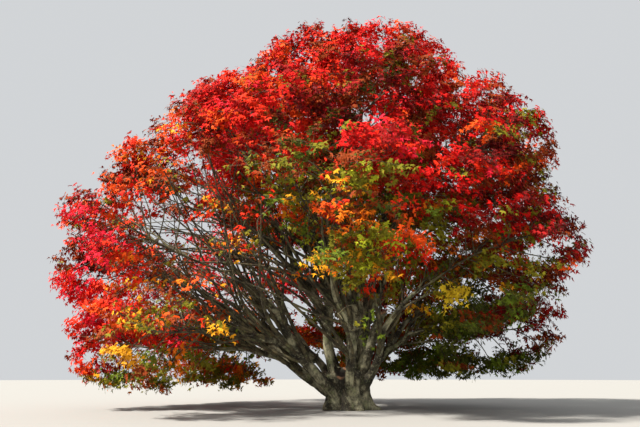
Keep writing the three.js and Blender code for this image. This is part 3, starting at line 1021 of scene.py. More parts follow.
@dataclass
class Trunk:
    """The squat fluted trunk and the first stretch of each limb of its fork, as one skin of bark."""

    boughs: list[Bough]
    ground_radius: float = 0.7
    waist_radius: float = 0.505
    waist_height: float = 0.38
    shoulder_height: float = 0.76
    stump_height: float = 1.02
    root_fade: float = 0.23
    root_swells: tuple[tuple[int, float, float], ...] = ((5, 0.11, 0.4), (8, 0.07, 1.3))
    shoulder_widen: float = 0.15
    shoulder_round: float = 0.86
    flute: tuple[int, float, float] = (11, 0.035, 0.7)
    folds: tuple[Triple, ...] = (
        (238, 8, 0.16), (262, 6, 0.07), (287, 7, 0.12), (318, 9, 0.14), (12, 9, 0.12), (60, 8, 0.1),
        (104, 9, 0.14), (150, 8, 0.1), (196, 9, 0.14))
    fold_twist: float = 14.0
    fold_fade: float = 0.4
    sides: int = 144
    rings: int = 56
    stub_sides: int = 22
    stub_rings: int = 18
    voxel: float = 0.017
    softness: float = 0.5
    smoothing: int = 5
    relief_girths: tuple[Pair, ...] = ((2.05, 2.3), (0.5, 0.11))
    stub_past: float = 0.12
    stub_fade: float = 0.32
    stub_shrink: float = 0.28
    snag: tuple[Triple, ...] = ((0.3, -0.2, 0.8), (0.5, -0.42, 1.55), (0.84, -0.62, 2.34))
    snag_run: float = 1.1
    snag_radii: Pair = (0.16, 0.095)
    snag_cut: Triple = (-0.35, -0.35, 0.87)
    wound: Triple = (-0.21, -0.48, 1.0)
    wound_size: Triple = (0.12, 0.34, 0.21)
    wound_depth: float = 0.16
    wound_edge: float = 1.3
    fray: tuple[float, float, int] = (0.25, 14.0, 11)
    scar_towards: Triple = (0.6, 0.0, -0.8)
    scar_at: float = 1.15
    scar_width: float = 0.35
    scar_gain: float = 2.5
    cut_fade: float = 0.05
    foot_fade: float = 0.05
    relief: BarkRelief = field(default_factory=BarkRelief)

    def radius(self, height: Array, angle: Array) -> Array:
        """Say how wide the stump is: the solid's rule, with folds that run up between the root swellings.

        Args:
            height: Heights over the ground.
            angle: Radians round from +X.

        Returns:
            The radii.
        """
        fade = np.exp(-height / self.root_fade)
        widen = self.shoulder_widen * np.maximum(0, height - self.waist_height) / self.stump_height
        over = np.maximum(0, (height - self.shoulder_height) / (self.stump_height - self.shoulder_height))
        swell = sum(size * np.cos(lobes * angle + turn) for lobes, size, turn in self.root_swells)
        lobes, size, turn = self.flute
        flute = size * np.cos(lobes * angle + turn)
        waist = self.waist_radius + widen
        plain = (waist + (self.ground_radius - self.waist_radius) * fade) * (1 + swell * fade + flute)
        around = np.degrees(angle) + self.fold_twist * height
        folds = 0.0
        for place, width, depth in self.folds:
            folds = folds + depth * np.exp(-0.5 * (past(around, place) / width) ** 2)
        folds = folds * np.clip((self.stump_height - height) / self.fold_fade, 0, 1)
        return plain * (1 - folds) * np.sqrt(1 - self.shoulder_round * np.minimum(over, 1) ** 2)

    def stump(self) -> tuple[Array, list]:
        """Return the stump's points and faces."""
        height = np.linspace(0, self.stump_height, self.rings + 1)[:, None]
        angle = ring_angles(self.sides)[None, :]
        radius = self.radius(height, angle)
        places = np.stack((radius * np.cos(angle), radius * np.sin(angle), height + 0 * angle), axis=-1)
        return places.reshape(-1, 3), ring_faces(self.rings + 1, self.sides)

    def snag_tube(self) -> Array:
        """Return the rings of the broken limb that stands in the fork, cut off aslant."""
        t = np.linspace(0, self.snag_run, self.stub_rings + 1)[:, None]
        root, bend, tip = (np.array(place) for place in self.snag)
        middle = bent(root, bend, tip, t)
        normal = unit(np.cross(tip - root, UP))
        binormal = unit(np.cross(tip - root, normal))
        around = ring_angles(self.stub_sides)[None, :, None]
        wide = (self.snag_radii[0] + (self.snag_radii[1] - self.snag_radii[0]) * t)[:, None]
        places = middle[:, None] + (normal * np.cos(around) + binormal * np.sin(around)) * wide
        cut, back = unit(np.array(self.snag_cut)), unit(tip - bend)
        over = np.maximum((places - tip) @ cut, 0) / (back @ cut)
        return places - over[..., None] * back

    def blank(self) -> Object:
        """Join the stump, the stubs and the broken limb into one smooth closed skin.

        Returns:
            The object with that skin, in small even faces.
        """
        points, faces = self.stump()
        groups, rows, count = [points], list(faces), len(points)
        skin = ring_faces(self.stub_rings + 1, self.stub_sides)
        tubes = [self.snag_tube()]
        for bough in self.boughs:
            if not bough.parent:
                t = np.linspace(0, bough.stub + self.stub_past / bough.length, self.stub_rings + 1)
                faded = (t - t[-1]) * bough.length + self.stub_fade
                radii = bough.radius_at(t) * (1 - self.stub_shrink * np.clip(faded / self.stub_fade, 0, 1))
                tubes.append(bough.tube(t, radii, self.stub_sides)[0])
        for places in tubes:
            groups.append(places.reshape(-1, 3))
            rows += [[p + count for p in face] for face in skin]
            count += places.shape[0] * places.shape[1]
        obj = shown("trunk_bark", mesh_of("trunk_bark", np.concatenate(groups), rows))
        remesh = obj.modifiers.new("skin", "REMESH")
        remesh.mode = "VOXEL"
        remesh.voxel_size = self.voxel
        smooth = obj.modifiers.new("soften", "SMOOTH")
        smooth.factor = self.softness
        smooth.iterations = self.smoothing
        return baked(obj)

    def build(self, finish: Material) -> Object:
        """Make the trunk's bark with its relief and its torn wound.

        Args:
            finish: The bark's material.

        Returns:
            The trunk's object.
        """
        obj = self.blank()
        mesh = obj.data
        count = len(mesh.vertices)
        points, normals = np.empty(count * 3), np.empty(count * 3)
        mesh.vertices.foreach_get("co", points)
        mesh.vertex_normals.foreach_get("vector", normals)
        points, normals = points.reshape(-1, 3), normals.reshape(-1, 3)
        grain = hub_grain(points)
        height = self.relief.height(grain, np.interp(grain[:, 2], *self.relief_girths))
        away = np.linalg.norm((points - self.wound) / self.wound_size, axis=1)
        fray, fineness, noise = self.fray
        hollow = np.clip(self.wound_edge - away + fray * lattice_noise(points * fineness, noise), 0, 1)
        height = height - self.wound_depth * hollow
        height *= np.clip(points[:, 2] / self.foot_fade, 0, 1)
        lip = unit((points - self.wound) / self.wound_size) @ np.array(self.scar_towards)
        scar = np.clip(1 - np.abs(away - self.scar_at) / self.scar_width, 0, 1)
        scar = scar * np.clip(lip * self.scar_gain, 0, 1) - hollow
        cut = (points - self.snag[-1]) @ unit(np.array(self.snag_cut))
        at_tip = np.linalg.norm(points - self.snag[-1], axis=1) < 2 * self.snag_radii[1]
        scar = np.where(at_tip, np.clip(1 + cut / self.cut_fade, 0, 1), scar)
        points = points + normals * height[:, None]
        points[:, 2] = np.maximum(points[:, 2], 0)
        mesh.vertices.foreach_set("co", points.astype(np.float32).ravel())
        write_bark(mesh, grain, height, scar)
        mesh.materials.clear()
        mesh.materials.append(finish)
        mesh.update()
        return obj


class NodeSketch:
    """A Geometry Nodes tree while it is being built."""

    def __init__(self, name: str) -> None:
        """Start a tree that takes and gives geometry."""
        self.tree = bpy.data.node_groups.new(name, "GeometryNodeTree")
        self.tree.is_modifier = True
        self.tree.interface.new_socket("Geometry", in_out="INPUT", socket_type="NodeSocketGeometry")
        self.tree.interface.new_socket("Geometry", in_out="OUTPUT", socket_type="NodeSocketGeometry")
        self.idents: dict[str, str] = {}

    def size(self, name: str, value: float, kind: str = "NodeSocketFloat") -> None:
        """Add a named input.

        Args:
            name: The input's name.
            value: Its value.
            kind: The socket's type.
        """
        socket = self.tree.interface.new_socket(name, in_out="INPUT", socket_type=kind)
        socket.default_value = value
        self.idents[name] = socket.identifier

    def start(self) -> Any:
        """Return the tree's input node, once its named inputs are there."""
        return self.node("NodeGroupInput")

    def node(self, kind: str, links: dict[str, Any] | None = None, **settings: Any) -> Node:
        """Add a node.

        Args:
            kind: The node's type.
            links: Its inputs by identifier, each an output to link or a plain value.
            settings: Its own settings.

        Returns:
            The node.
        """
        node = self.tree.nodes.new(kind)
        for key, value in settings.items():
            setattr(node, key, value)
        by_ident = {socket.identifier: socket for socket in node.inputs}
        for key, value in (links or {}).items():
            if isinstance(value, bpy.types.NodeSocket):
                self.tree.links.new(value, by_ident[key])
            else:
                by_ident[key].default_value = value
        return node

    def attribute(self, name: str, kind: str) -> Any:
        """Return the output that reads a named attribute of the given type."""
        node = self.node("GeometryNodeInputNamedAttribute", {"Name": name}, data_type=kind)
        return node.outputs["Attribute"]

    def finish(self, geometry: Any) -> None:
        """Lead the geometry out of the tree."""
        out = self.node("NodeGroupOutput")
        self.tree.links.new(geometry, out.inputs[0])

    def dress(self, obj: Object, sizes: dict[str, float]) -> Object:
        """Run the tree on an object and keep its result as the object's plain mesh.

        Args:
            obj: The object.
            sizes: Values for named inputs.

        Returns:
            The same object.
        """
        modifier = obj.modifiers.new(self.tree.name, "NODES")
        modifier.node_group = self.tree
        for name, value in sizes.items():
            modifier[self.idents[name]] = value
        return baked(obj)


FIVE_LOBES = ((-98, 0.55), (-54, 0.92), (-27, 0.4), (0, 1.05), (27, 0.4), (54, 0.92), (98, 0.55))
THREE_LOBES = ((-72, 0.85), (-36, 0.38), (0, 1.08), (36, 0.38), (72, 0.85))


@dataclass(frozen=True)
class LeafShape:
    """A leaf's outline as lobes and notches round its root, each an angle and a size, a few faces in all."""

    name: str
    rim: tuple[Pair, ...]
    root: float = 0.1
    long: float = 0.9
    fold: float = 0.1
    droop: float = 0.2

    def build(self) -> Object:
        """Make the leaf that the sprays repeat: it lies along +Y from its root and faces +Z.

        Returns:
            The leaf's object, outside the scene.
        """
        points = [(0.0, 0.0, 0.0)]
        for angle, size in self.rim:
            a = math.radians(angle)
            x, y = math.sin(a) * size, self.root + math.cos(a) * size * self.long
            points.append((x, y, self.fold * abs(x) - self.droop * (x * x + y * y)))
        faces = [(0, i + 1, i) for i in range(1, len(points) - 1)]
        return bpy.data.objects.new(self.name, mesh_of(self.name, np.array(points), faces))


@dataclass
class SprayKit:
    """The two node trees that turn a mass's twig lines and leaf places into meshes."""

    leaf_length: float = 0.1
    fine_sides: int = 3
    stout_sides: int = 8

    def __post_init__(self) -> None:
        """Build the leaf shapes, the finishes and both trees."""
        self.shapes = [
            LeafShape("leaf_open", FIVE_LOBES).build(),
            LeafShape("leaf_cupped", THREE_LOBES, fold=0.3, droop=0.34).build(),
        ]
        self.tints = [tint.value.material() for tint in TINTS]
        finish = BarkFinish("bark_twig", dark="2a2417", middle="433b2a", pale="726848", scale=2.0)
        self.twig_bark = finish.material()
        self.leaf_tree = self._leaf_tree()
        self.twig_tree = self._twig_tree()

    def _leaf_tree(self) -> NodeSketch:
        """Repeat a leaf on every leaf place, and give each its tint.

        Returns:
            The tree.
        """
        sketch = NodeSketch("leaf_sprays")
        sketch.size("Leaf Length", self.leaf_length)
        source = sketch.start()
        leaves = sketch.node("GeometryNodeJoinGeometry")
        for shape in self.shapes:
            info = sketch.node("GeometryNodeObjectInfo", {"Object": shape})
            single = sketch.node("GeometryNodeGeometryToInstance", {"Geometry": info.outputs["Geometry"]})
            sketch.tree.links.new(single.outputs["Instances"], leaves.inputs[0])
        scale = sketch.node(
            "ShaderNodeMath",
            {"Value": source.outputs["Leaf Length"], "Value_001": sketch.attribute("size", "FLOAT")},
            operation="MULTIPLY",
        )
        placed = sketch.node("GeometryNodeInstanceOnPoints", {
            "Points": source.outputs["Geometry"],
            "Instance": leaves.outputs[0],
            "Pick Instance": True,
            "Instance Index": sketch.attribute("shape", "INT"),
            "Rotation": sketch.attribute("turn", "QUATERNION"),
            "Scale": scale.outputs[0],
        })
        geometry = sketch.node("GeometryNodeRealizeInstances", {"Geometry": placed.outputs[0]}).outputs[0]
        tint = sketch.attribute("tint", "INT")
        for number, material in enumerate(self.tints):
            alike = sketch.node("FunctionNodeCompare", {"A_INT": tint, "B_INT": number},
                                data_type="INT", operation="EQUAL")
            geometry = sketch.node("GeometryNodeSetMaterial", {
                "Geometry": geometry, "Selection": alike.outputs[0], "Material": material,
            }).outputs[0]
        sketch.finish(geometry)
        return sketch

    def _twig_tree(self) -> NodeSketch:
        """Give every twig line its tapering round wood, rounder where it is stout.

        Returns:
            The tree.
        """
        sketch = NodeSketch("twig_wood")
        sketch.size("Fine Sides", self.fine_sides, "NodeSocketInt")
        sketch.size("Stout Sides", self.stout_sides, "NodeSocketInt")
        source = sketch.start()
        parted = sketch.node("GeometryNodeSeparateGeometry", {
            "Geometry": source.outputs["Geometry"], "Selection": sketch.attribute("stout", "BOOLEAN"),
        })
        joined = sketch.node("GeometryNodeJoinGeometry")
        for lines, sides in ((parted.outputs[0], "Stout Sides"), (parted.outputs[1], "Fine Sides")):
            curve = sketch.node("GeometryNodeMeshToCurve", {"Mesh": lines})
            ring = sketch.node("GeometryNodeCurvePrimitiveCircle",
                               {"Resolution": source.outputs[sides], "Radius": 1.0})
            wood = sketch.node("GeometryNodeCurveToMesh", {
                "Curve": curve.outputs[0],
                "Profile Curve": ring.outputs[0],
                "Scale": sketch.attribute("girth", "FLOAT"),
                "Fill Caps": True,
            })
            sketch.tree.links.new(wood.outputs[0], joined.inputs[0])
        smooth = sketch.node("GeometryNodeSetShadeSmooth", {"Geometry": joined.outputs[0]})
        real = sketch.node("GeometryNodeRealizeInstances", {"Geometry": smooth.outputs[0]})
        skin = {"Geometry": real.outputs[0], "Material": self.twig_bark}
        sketch.finish(sketch.node("GeometryNodeSetMaterial", skin).outputs[0])
        return sketch


def quaternions(side: Array, ahead: Array, above: Array) -> Array:
    """Turn frames into rotations.

    Args:
        side: Where each one's X points.
        ahead: Where its Y points.
        above: Where its Z points.

    Returns:
        One row of w, x, y, z for each.
    """
    w = np.sqrt(np.maximum(0, 1 + side[:, 0] + ahead[:, 1] + above[:, 2])) / 2
    x = np.sqrt(np.maximum(0, 1 + side[:, 0] - ahead[:, 1] - above[:, 2])) / 2
    y = np.sqrt(np.maximum(0, 1 - side[:, 0] + ahead[:, 1] - above[:, 2])) / 2
    z = np.sqrt(np.maximum(0, 1 - side[:, 0] - ahead[:, 1] + above[:, 2])) / 2
    x = np.copysign(x, ahead[:, 2] - above[:, 1])
    y = np.copysign(y, above[:, 0] - side[:, 2])
    z = np.copysign(z, side[:, 1] - ahead[:, 0])
    return np.stack((w, x, y, z), axis=1)


# In the habits angles are in degrees, and a pair of radii runs from the root to the tip
@dataclass(frozen=True)
class StemHabit:
    """How the stem of a mass grows. Its course is its stretches and how far it strays."""

    roll: float = 30.0
    share: float = 0.84
    longest: float = 3.5
    radii: Pair = (0.03, 0.011)
    course: tuple[int, float] = (14, 0.03)


@dataclass(frozen=True)
class BoughletHabit:
    """How boughlets leave the stem: at the angle near by its root, and at far by its tip."""

    tries: int = 120
    most: int = 38
    first: float = 0.07
    last: float = 0.95
    offset: float = 0.35
    near: float = 72.0
    far: float = 36.0
    sway: float = 14.0
    reach: float = 0.96
    least: float = 0.35
    second_try: float = 0.72
    rise: float = 0.35
    radii: Pair = (0.016, 0.006)
    rings: int = 8


@dataclass(frozen=True)
class SideHabit:
    """How side branches leave a boughlet."""

    level: float = 0.2
    places: Triple = (0.82, 0.6, 0.4)
    least: float = 0.5
    turn: Pair = (55.0, 12.0)
    lifts: Pair = (-0.2, 0.25)
    onward: float = 0.5
    room: float = 0.9
    sizes: Pair = (0.75, 1.15)
    shortest: float = 0.4
    radii: Pair = (0.009, 0.005)
    rings: int = 5


@dataclass(frozen=True)
class SprayHabit:
    """How the spray at a branch's end grows: its shoots stand open at its root and close towards its tip."""

    swell: float = 1.05
    gap: float = 0.52
    flatness: float = 1.6
    level: float = 0.15
    run: float = 1.25
    shoots: int = 11
    light_shoots: int = 5
    length: float = 0.35
    open: float = 92.0
    close: float = 66.0
    sway: float = 22.0
    climb: float = 0.08
    rise: float = 0.5
    top_rise: float = 0.35
    top_heights: Pair = (5.0, 8.0)
    outline: Four = (0.8, 0.35, 0.15, 0.6)
    sizes: Pair = (0.8, 1.15)
    sags: Pair = (0.12, 0.34)
    radii: Pair = (0.004, 0.0022)
    ease: float = 0.22


@dataclass(frozen=True)
class LeafHabit:
    """How pairs of leaves sit on a shoot."""

    pairs: int = 8
    sway: float = 0.45
    spreads: Pair = (30.0, 90.0)
    falls: Pair = (0.3, 1.5)
    lie: Triple = (0.75, 0.8, 0.36)
    sizes: Pair = (0.72, 1.15)
    first: float = 1.08
    shrink: float = 0.25
    ease: float = 0.25
    lowest: float = 0.12
    thinning: float = 0.85
    stalk: float = 0.06
    stalk_sizes: Pair = (0.5, 1.8)
    stalk_lift: float = 0.045


@dataclass(frozen=True)
class TintHabit:
    """How the tints are dealt out, where regions meet and where a dusky clump lies."""

    own_share: float = 0.5
    border_scale: float = 0.7
    border_sway: float = 0.4
    border_noises: tuple[int, int, int] = (21, 22, 23)
    sharpness: float = 2.0
    dusk_scale: float = 0.9
    dusk_over: float = 0.34
    dusk_noise: int = 24


@dataclass(frozen=True)
class OffshootHabit:
    """How long branches run nearly along a bough."""

    count: int = 7
    first: float = 0.34
    last: float = 0.9
    offset: float = 0.2
    bias: float = 1.6
    turn: Pair = (0.25, 0.4)
    angles: Pair = (9.0, 30.0)
    rise: float = 0.15
    run: float = 0.7
    sizes: Pair = (0.7, 1.5)
    radius: float = 0.05
    lowest: float = 1.1
    shell: float = 0.86
    course: tuple[int, float] = (14, 0.06)


@dataclass(frozen=True)
class RibHabit:
    """How branches spread like a fan on the side where the crown is open."""

    towards: float = 216.0
    width: float = 58.0
    count: int = 9
    starts: Pair = (0.2, 0.6)
    lifts: Pair = (8.0, 52.0)
    radii: Pair = (0.03, 0.055)
    shell: float = 0.82
    course: tuple[int, float] = (16, 0.035)


@dataclass(frozen=True)
class BareHabit:
    """How a branch that is bare at first bears its twigs."""

    girth_share: float = 0.6
    tip: float = 0.006
    twigs: Triple = (0.42, 0.6, 0.78)
    turns: Pair = (24.0, 50.0)
    lifts: Pair = (-0.1, 0.35)
    sizes: Pair = (0.5, 1.1)
    thinner: float = 0.4
    twig_tip: float = 0.004
    rings: int = 6


@dataclass
class Foliage:
    """One mass of foliage: a stem from the bough's tip, boughlets off its three sides, and leafy sprays.

    The boughlets leave the stem as the leaves of the mass's solid do: by the golden share along it, by
    thirds of a turn round it, and out to the edge of the mass's own space.
    """

    bough: Bough
    number: int
    pads: list[Array]
    stem: StemHabit = StemHabit()
    boughlets: BoughletHabit = BoughletHabit()
    sides: SideHabit = SideHabit()
    spray: SprayHabit = SprayHabit()
    leafing: LeafHabit = LeafHabit()
    tinting: TintHabit = TintHabit()
    offshoots: OffshootHabit = OffshootHabit()
    ribs: RibHabit = RibHabit()
    bare: BareHabit = BareHabit()
    bend: float = 0.5
    ripple: float = 0.5

    def __post_init__(self) -> None:
        """Set up the seeded numbers and the empty lists."""
        self.space = self.bough.space
        self.random = np.random.default_rng(FOLIAGE_SEED + self.number)
        self.draw = SeededDraw(FOLIAGE_SEED + self.number)
        self.lines: list[tuple[Array, Array, bool]] = []
        self.leaves: list[Array] = []
        self.aims: list[Array] = []
        self.normals: list[Array] = []
        self.sizes: list[Array] = []
        self.dealt: list[Array] = []

    def free(self, centre: Array) -> bool:
        """Say whether a new pad there keeps off the others and out of the clearings."""
        if self.random.random() < openness(centre):
            return False
        off = (np.array(self.pads or [FAR_BELOW]) - centre) * (1, 1, self.spray.flatness)
        return bool((off**2).sum(axis=1).min() > self.spray.gap**2)

    def curve(self, start: Array, start_aim: Array, end: Array, rings: int,
              wander: float = WANDER) -> Array:
        """Lay a branch that leaves in one direction and bends to its end.

        Args:
            start: Where it starts.
            start_aim: Its direction there.
            end: Where it ends.
            rings: How many stretches it has.
            wander: How far it strays, as a share of its length.

        Returns:
            Its points.
        """
        span = np.linalg.norm(end - start)
        t = np.linspace(0, 1, rings + 1)[:, None]
        line = bent(start, start + start_aim * span * self.bend, end, t)
        stray = self.random.normal(0, 1, (2, 3)) * span * wander
        return line + np.sin(math.pi * t) * stray[0] + np.sin(2 * math.pi * t) * stray[1] * self.ripple

    def keep(self, line: Array, radii: Pair, stout: bool = False) -> None:
        """Keep a line of wood with its radii."""
        self.lines.append((line, np.linspace(*radii, len(line)), stout))

    def grow(self) -> None:
        """Grow the stem, its boughlets, their side branches and the sprays on them all."""
        habit = self.boughlets
        space, draw = self.space, self.draw
        outward = space.outward
        roll = math.radians(draw.spread(self.stem.roll))
        guide = turned(unit(UP - outward * (UP @ outward)), outward, roll)
        room = space.room_ahead(space.entry, outward)
        length = min(room * self.stem.share, self.stem.longest)
        stem = self.curve(space.entry, outward, space.entry + outward * length, *self.stem.course)
        self.keep(stem, self.stem.radii, True)
        self.pad(stem)
        made = 0
        for k in range(habit.tries):
            if made >= habit.most:
                break
            spread = (k * GOLDEN_SHARE + habit.offset) % 1
            at = habit.first + (habit.last - habit.first) * spread
            turn = (k + 0.5) * FULL_TURN / 3 + math.radians(draw.spread(habit.sway))
            angle = math.radians(habit.near + (habit.far - habit.near) * at)
            side = turned(guide, outward, turn)
            heading = outward * math.cos(angle) + side * math.sin(angle)
            made += self.boughlet(stem, at, heading)
        for k in range(self.offshoots.count):
            self.offshoot(k)
        if abs(space.azimuth - self.ribs.towards) < self.ribs.width:
            for k in range(self.ribs.count):
                self.rib(k)

    def offshoot(self, k: int) -> None:
        """Grow a long thin branch nearly along the bough, bare at first, with light sprays further out.

        Args:
            k: Its number on the bough.
        """
        habit = self.offshoots
        line, random = self.bough.line, self.random
        share = ((k * GOLDEN_SHARE + habit.offset) % 1) ** habit.bias
        at = habit.first + (habit.last - habit.first) * share
        start, along = line.points(at), line.tangents(at)
        first, sway = habit.turn
        turn = (k + first) * FULL_TURN / 3 + random.uniform(-sway, sway)
        side = turned(unit(np.cross(along, UP)), along, turn)
        angle = math.radians(random.uniform(*habit.angles))
        heading = unit(along * math.cos(angle) + side * math.sin(angle) + UP * habit.rise)
        size = (1 - at) * self.bough.length * habit.run + random.uniform(*habit.sizes)
        end = start + heading * size
        if shell(end) > habit.shell or end[2] < habit.lowest:
            return
        girth = min(habit.radius, float(self.bough.radius_at(at)) * self.bare.girth_share)
        self.bare_branch(self.curve(start, unit(along + heading), end, *habit.course), girth, k)

    def rib(self, k: int) -> None:
        """Grow a long branch from low on the bough to the crown's skin, one of many that spread like a fan.

        Args:
            k: Its number on the bough.
        """
        habit = self.ribs
        line, random = self.bough.line, self.random
        at = random.uniform(*habit.starts)
        start, along = line.points(at), line.tangents(at)
        heading = aim(habit.towards + random.uniform(-1, 1) * habit.width, random.uniform(*habit.lifts))
        off, run = (start - CROWN_MIDDLE) / CROWN_HALF, heading / CROWN_HALF
        square, half = float(run @ run), float(off @ run)
        size = (math.sqrt(half * half - square * (float(off @ off) - habit.shell**2)) - half) / square
        girth = min(random.uniform(*habit.radii), float(self.bough.radius_at(at)) * self.bare.girth_share)
        end = start + heading * size
        self.bare_branch(self.curve(start, unit(along + heading), end, *habit.course), girth, k)

    def bare_branch(self, branch: Array, girth: float, k: int) -> None:
        """Keep a branch that is bare at first, and grow twigs off it further out, each with a light spray.

        Args:
            branch: Its points.
            girth: Its radius at the root.
            k: Its number, which says to which side the first twig turns.
        """
        habit = self.bare
        random = self.random
        heading = unit(branch[-1] - branch[0])
        self.keep(branch, (girth, habit.tip), True)
        if random.random() > openness(branch[-1]):
            self.pad(branch, light=True)
        for number, place in enumerate(habit.twigs):
            root = branch[round(place * (len(branch) - 1))]
            turn = math.radians(random.uniform(*habit.turns)) * (1 if (k + number) % 2 else -1)
            aside = unit(turned(heading, UP, turn) + UP * random.uniform(*habit.lifts))
            tip = root + aside * random.uniform(*habit.sizes)
            if shell(tip) > self.offshoots.shell:
                continue
            twig = self.curve(root, unit(aside + heading), tip, habit.rings)
            self.keep(twig, (girth * habit.thinner, habit.twig_tip))
            if self.free(tip):
                self.pads.append(tip)
                self.pad(twig, light=True)

    def boughlet(self, stem: Array, at: float, heading: Array) -> bool:
        """Grow a branch off the stem to the edge of the space, with side branches on it.

        Args:
            stem: The stem's points.
            at: Where it leaves the stem, as a share.
            heading: Its direction.

        Returns:
            True where it had room.
        """
        habit = self.boughlets
        sides = self.sides
        start = stem[round(at * (len(stem) - 1))]
        reach = self.space.room_ahead(start, heading) * habit.reach
        if reach < habit.least:
            return False
        end = start + heading * reach
        if end[2] > CROWN_TOP or not self.free(end):
            reach *= habit.second_try
            end = start + heading * reach
            if reach < habit.least or end[2] > CROWN_TOP or not self.free(end):
                return False
        self.pads.append(end)
        branch = self.curve(start, unit(heading + UP * habit.rise), end, habit.rings)
        self.keep(branch, habit.radii, True)
        self.pad(branch)
        flat = unit(heading * (1, 1, sides.level))
        turn, sway = sides.turn
        for k, share in enumerate(sides.places):
            if reach * share < sides.least:
                continue
            angle = math.radians((turn + self.random.uniform(-sway, sway)) * (1 if k % 2 else -1))
            aside = unit(turned(flat, UP, angle) + UP * self.random.uniform(*sides.lifts))
            root = branch[round(share * (len(branch) - 1))]
            size = min(self.space.room_ahead(root, aside) * sides.room, self.random.uniform(*sides.sizes))
            tip = root + aside * size
            if size < sides.shortest or not self.free(tip):
                continue
            self.pads.append(tip)
            twig = self.curve(root, unit(aside + flat * sides.onward), tip, sides.rings)
            self.keep(twig, sides.radii)
            self.pad(twig)
        return True

    def pad(self, branch: Array, light: bool = False) -> None:
        """Grow the layered spray at a branch's end: side shoots to left and right, each with pairs of leaves.

        Args:
            branch: The branch's points.
            light: Whether it is a thin spray inside the crown, which doesn't keep to the mass's own space.
        """
        habit = self.spray
        random = self.random
        count = habit.light_shoots if light else habit.shoots
        flat = unit((branch[-1] - branch[-3]) * (1, 1, habit.level) + OFF_ZERO)
        run = np.concatenate(([0], np.cumsum(np.linalg.norm(np.diff(branch, axis=0), axis=1))))
        share = (np.arange(count) + SLOT) / count
        place = run[-1] - min(run[-1], habit.length * habit.run) * (1 - share)
        root = np.stack([np.interp(place, run, branch[:, i]) for i in range(3)], axis=1)
        side = np.where(np.arange(count) % 2, 1.0, -1.0)
        sway = random.normal(0, habit.sway, count)
        angle = np.radians(side * (habit.open - habit.close * share) + sway)
        c, s = np.cos(angle), np.sin(angle)
        rise = habit.rise + np.interp(branch[-1][2], habit.top_heights, (0, habit.top_rise))
        climb = random.normal(habit.climb, rise, count)
        out = unit(np.stack((flat[0] * c - flat[1] * s, flat[0] * s + flat[1] * c, climb), axis=1))
        least, bulge, first, span = habit.outline
        length = habit.length * (least + bulge * np.sin(math.pi * (first + span * share)))
        length = length * random.uniform(*habit.sizes, count)
        t = np.linspace(0, 1, 3)[None, :, None]
        sag = random.uniform(*habit.sags, count)[:, None, None] * length[:, None, None]
        shoots = root[:, None] + out[:, None] * length[:, None, None] * t - UP * sag * t * t
        tips = shoots[:, 2]
        kept = (self.space.holds(tips, habit.swell, habit.ease) | light) & (tips[:, 2] < CROWN_TOP)
        for line in shoots[kept]:
            self.keep(line, habit.radii)
        tints = self.dealing(branch[-1], int(kept.sum()))
        self.leafy(root[kept], out[kept], length[kept], sag[kept, 0, 0], tints, light)

    def leafy(self, root: Array, out: Array, length: Array, sag: Array, tints: Array,
              light: bool) -> None:
        """Set pairs of leaves along shoots.

        Args:
            root: Where each shoot starts.
            out: Its direction.
            length: Its length.
            sag: How far its tip sinks.
            tints: The number of its tint.
            light: Whether the leaves may leave the mass's own space.
        """
        habit = self.leafing
        random, pairs = self.random, habit.pairs
        count = len(root)
        t = ((np.arange(pairs) + SLOT) / pairs)[None, :, None, None]
        t = t + random.uniform(-habit.sway, habit.sway, (count, pairs, 2, 1)) / pairs
        side = np.array((-1.0, 1.0))[None, None, :, None]
        across = unit(np.cross(out, UP))[:, None, None]
        ahead = out[:, None, None]
        spread = np.radians(random.uniform(*habit.spreads, (count, pairs, 2, 1)))
        flat = ahead * np.cos(spread) + across * side * np.sin(spread)
        place = root[:, None, None] + ahead * length[:, None, None, None] * t
        place = place - UP * sag[:, None, None, None] * t * t
        place = place + flat * habit.stalk * random.uniform(*habit.stalk_sizes, t.shape)
        place = place + UP * random.normal(0, habit.stalk_lift, t.shape)
        leaf_aim = unit(flat - UP * random.uniform(*habit.falls, t.shape))
        up_share, out_share, sway = habit.lie
        outward = unit((place - CROWN_MIDDLE) / CROWN_HALF)
        lie = UP * up_share + outward * out_share + random.normal(0, sway, (count, pairs, 2, 3))
        lie = unit(lie - leaf_aim * np.sum(lie * leaf_aim, axis=-1, keepdims=True))
        place = place.reshape(-1, 3)
        size = (random.uniform(*habit.sizes, t.shape) * (habit.first - habit.shrink * t)).reshape(-1)
        kept = self.space.holds(place, self.spray.swell, habit.ease) | light
        kept &= (place[:, 2] > habit.lowest) & (place[:, 2] < CROWN_TOP)
        kept &= random.random(len(place)) > habit.thinning * openness(place)
        self.leaves.append(place[kept])
        self.aims.append(leaf_aim.reshape(-1, 3)[kept])
        self.normals.append(lie.reshape(-1, 3)[kept])
        self.sizes.append(size[kept])
        self.dealt.append(np.repeat(tints, pairs * 2)[kept])

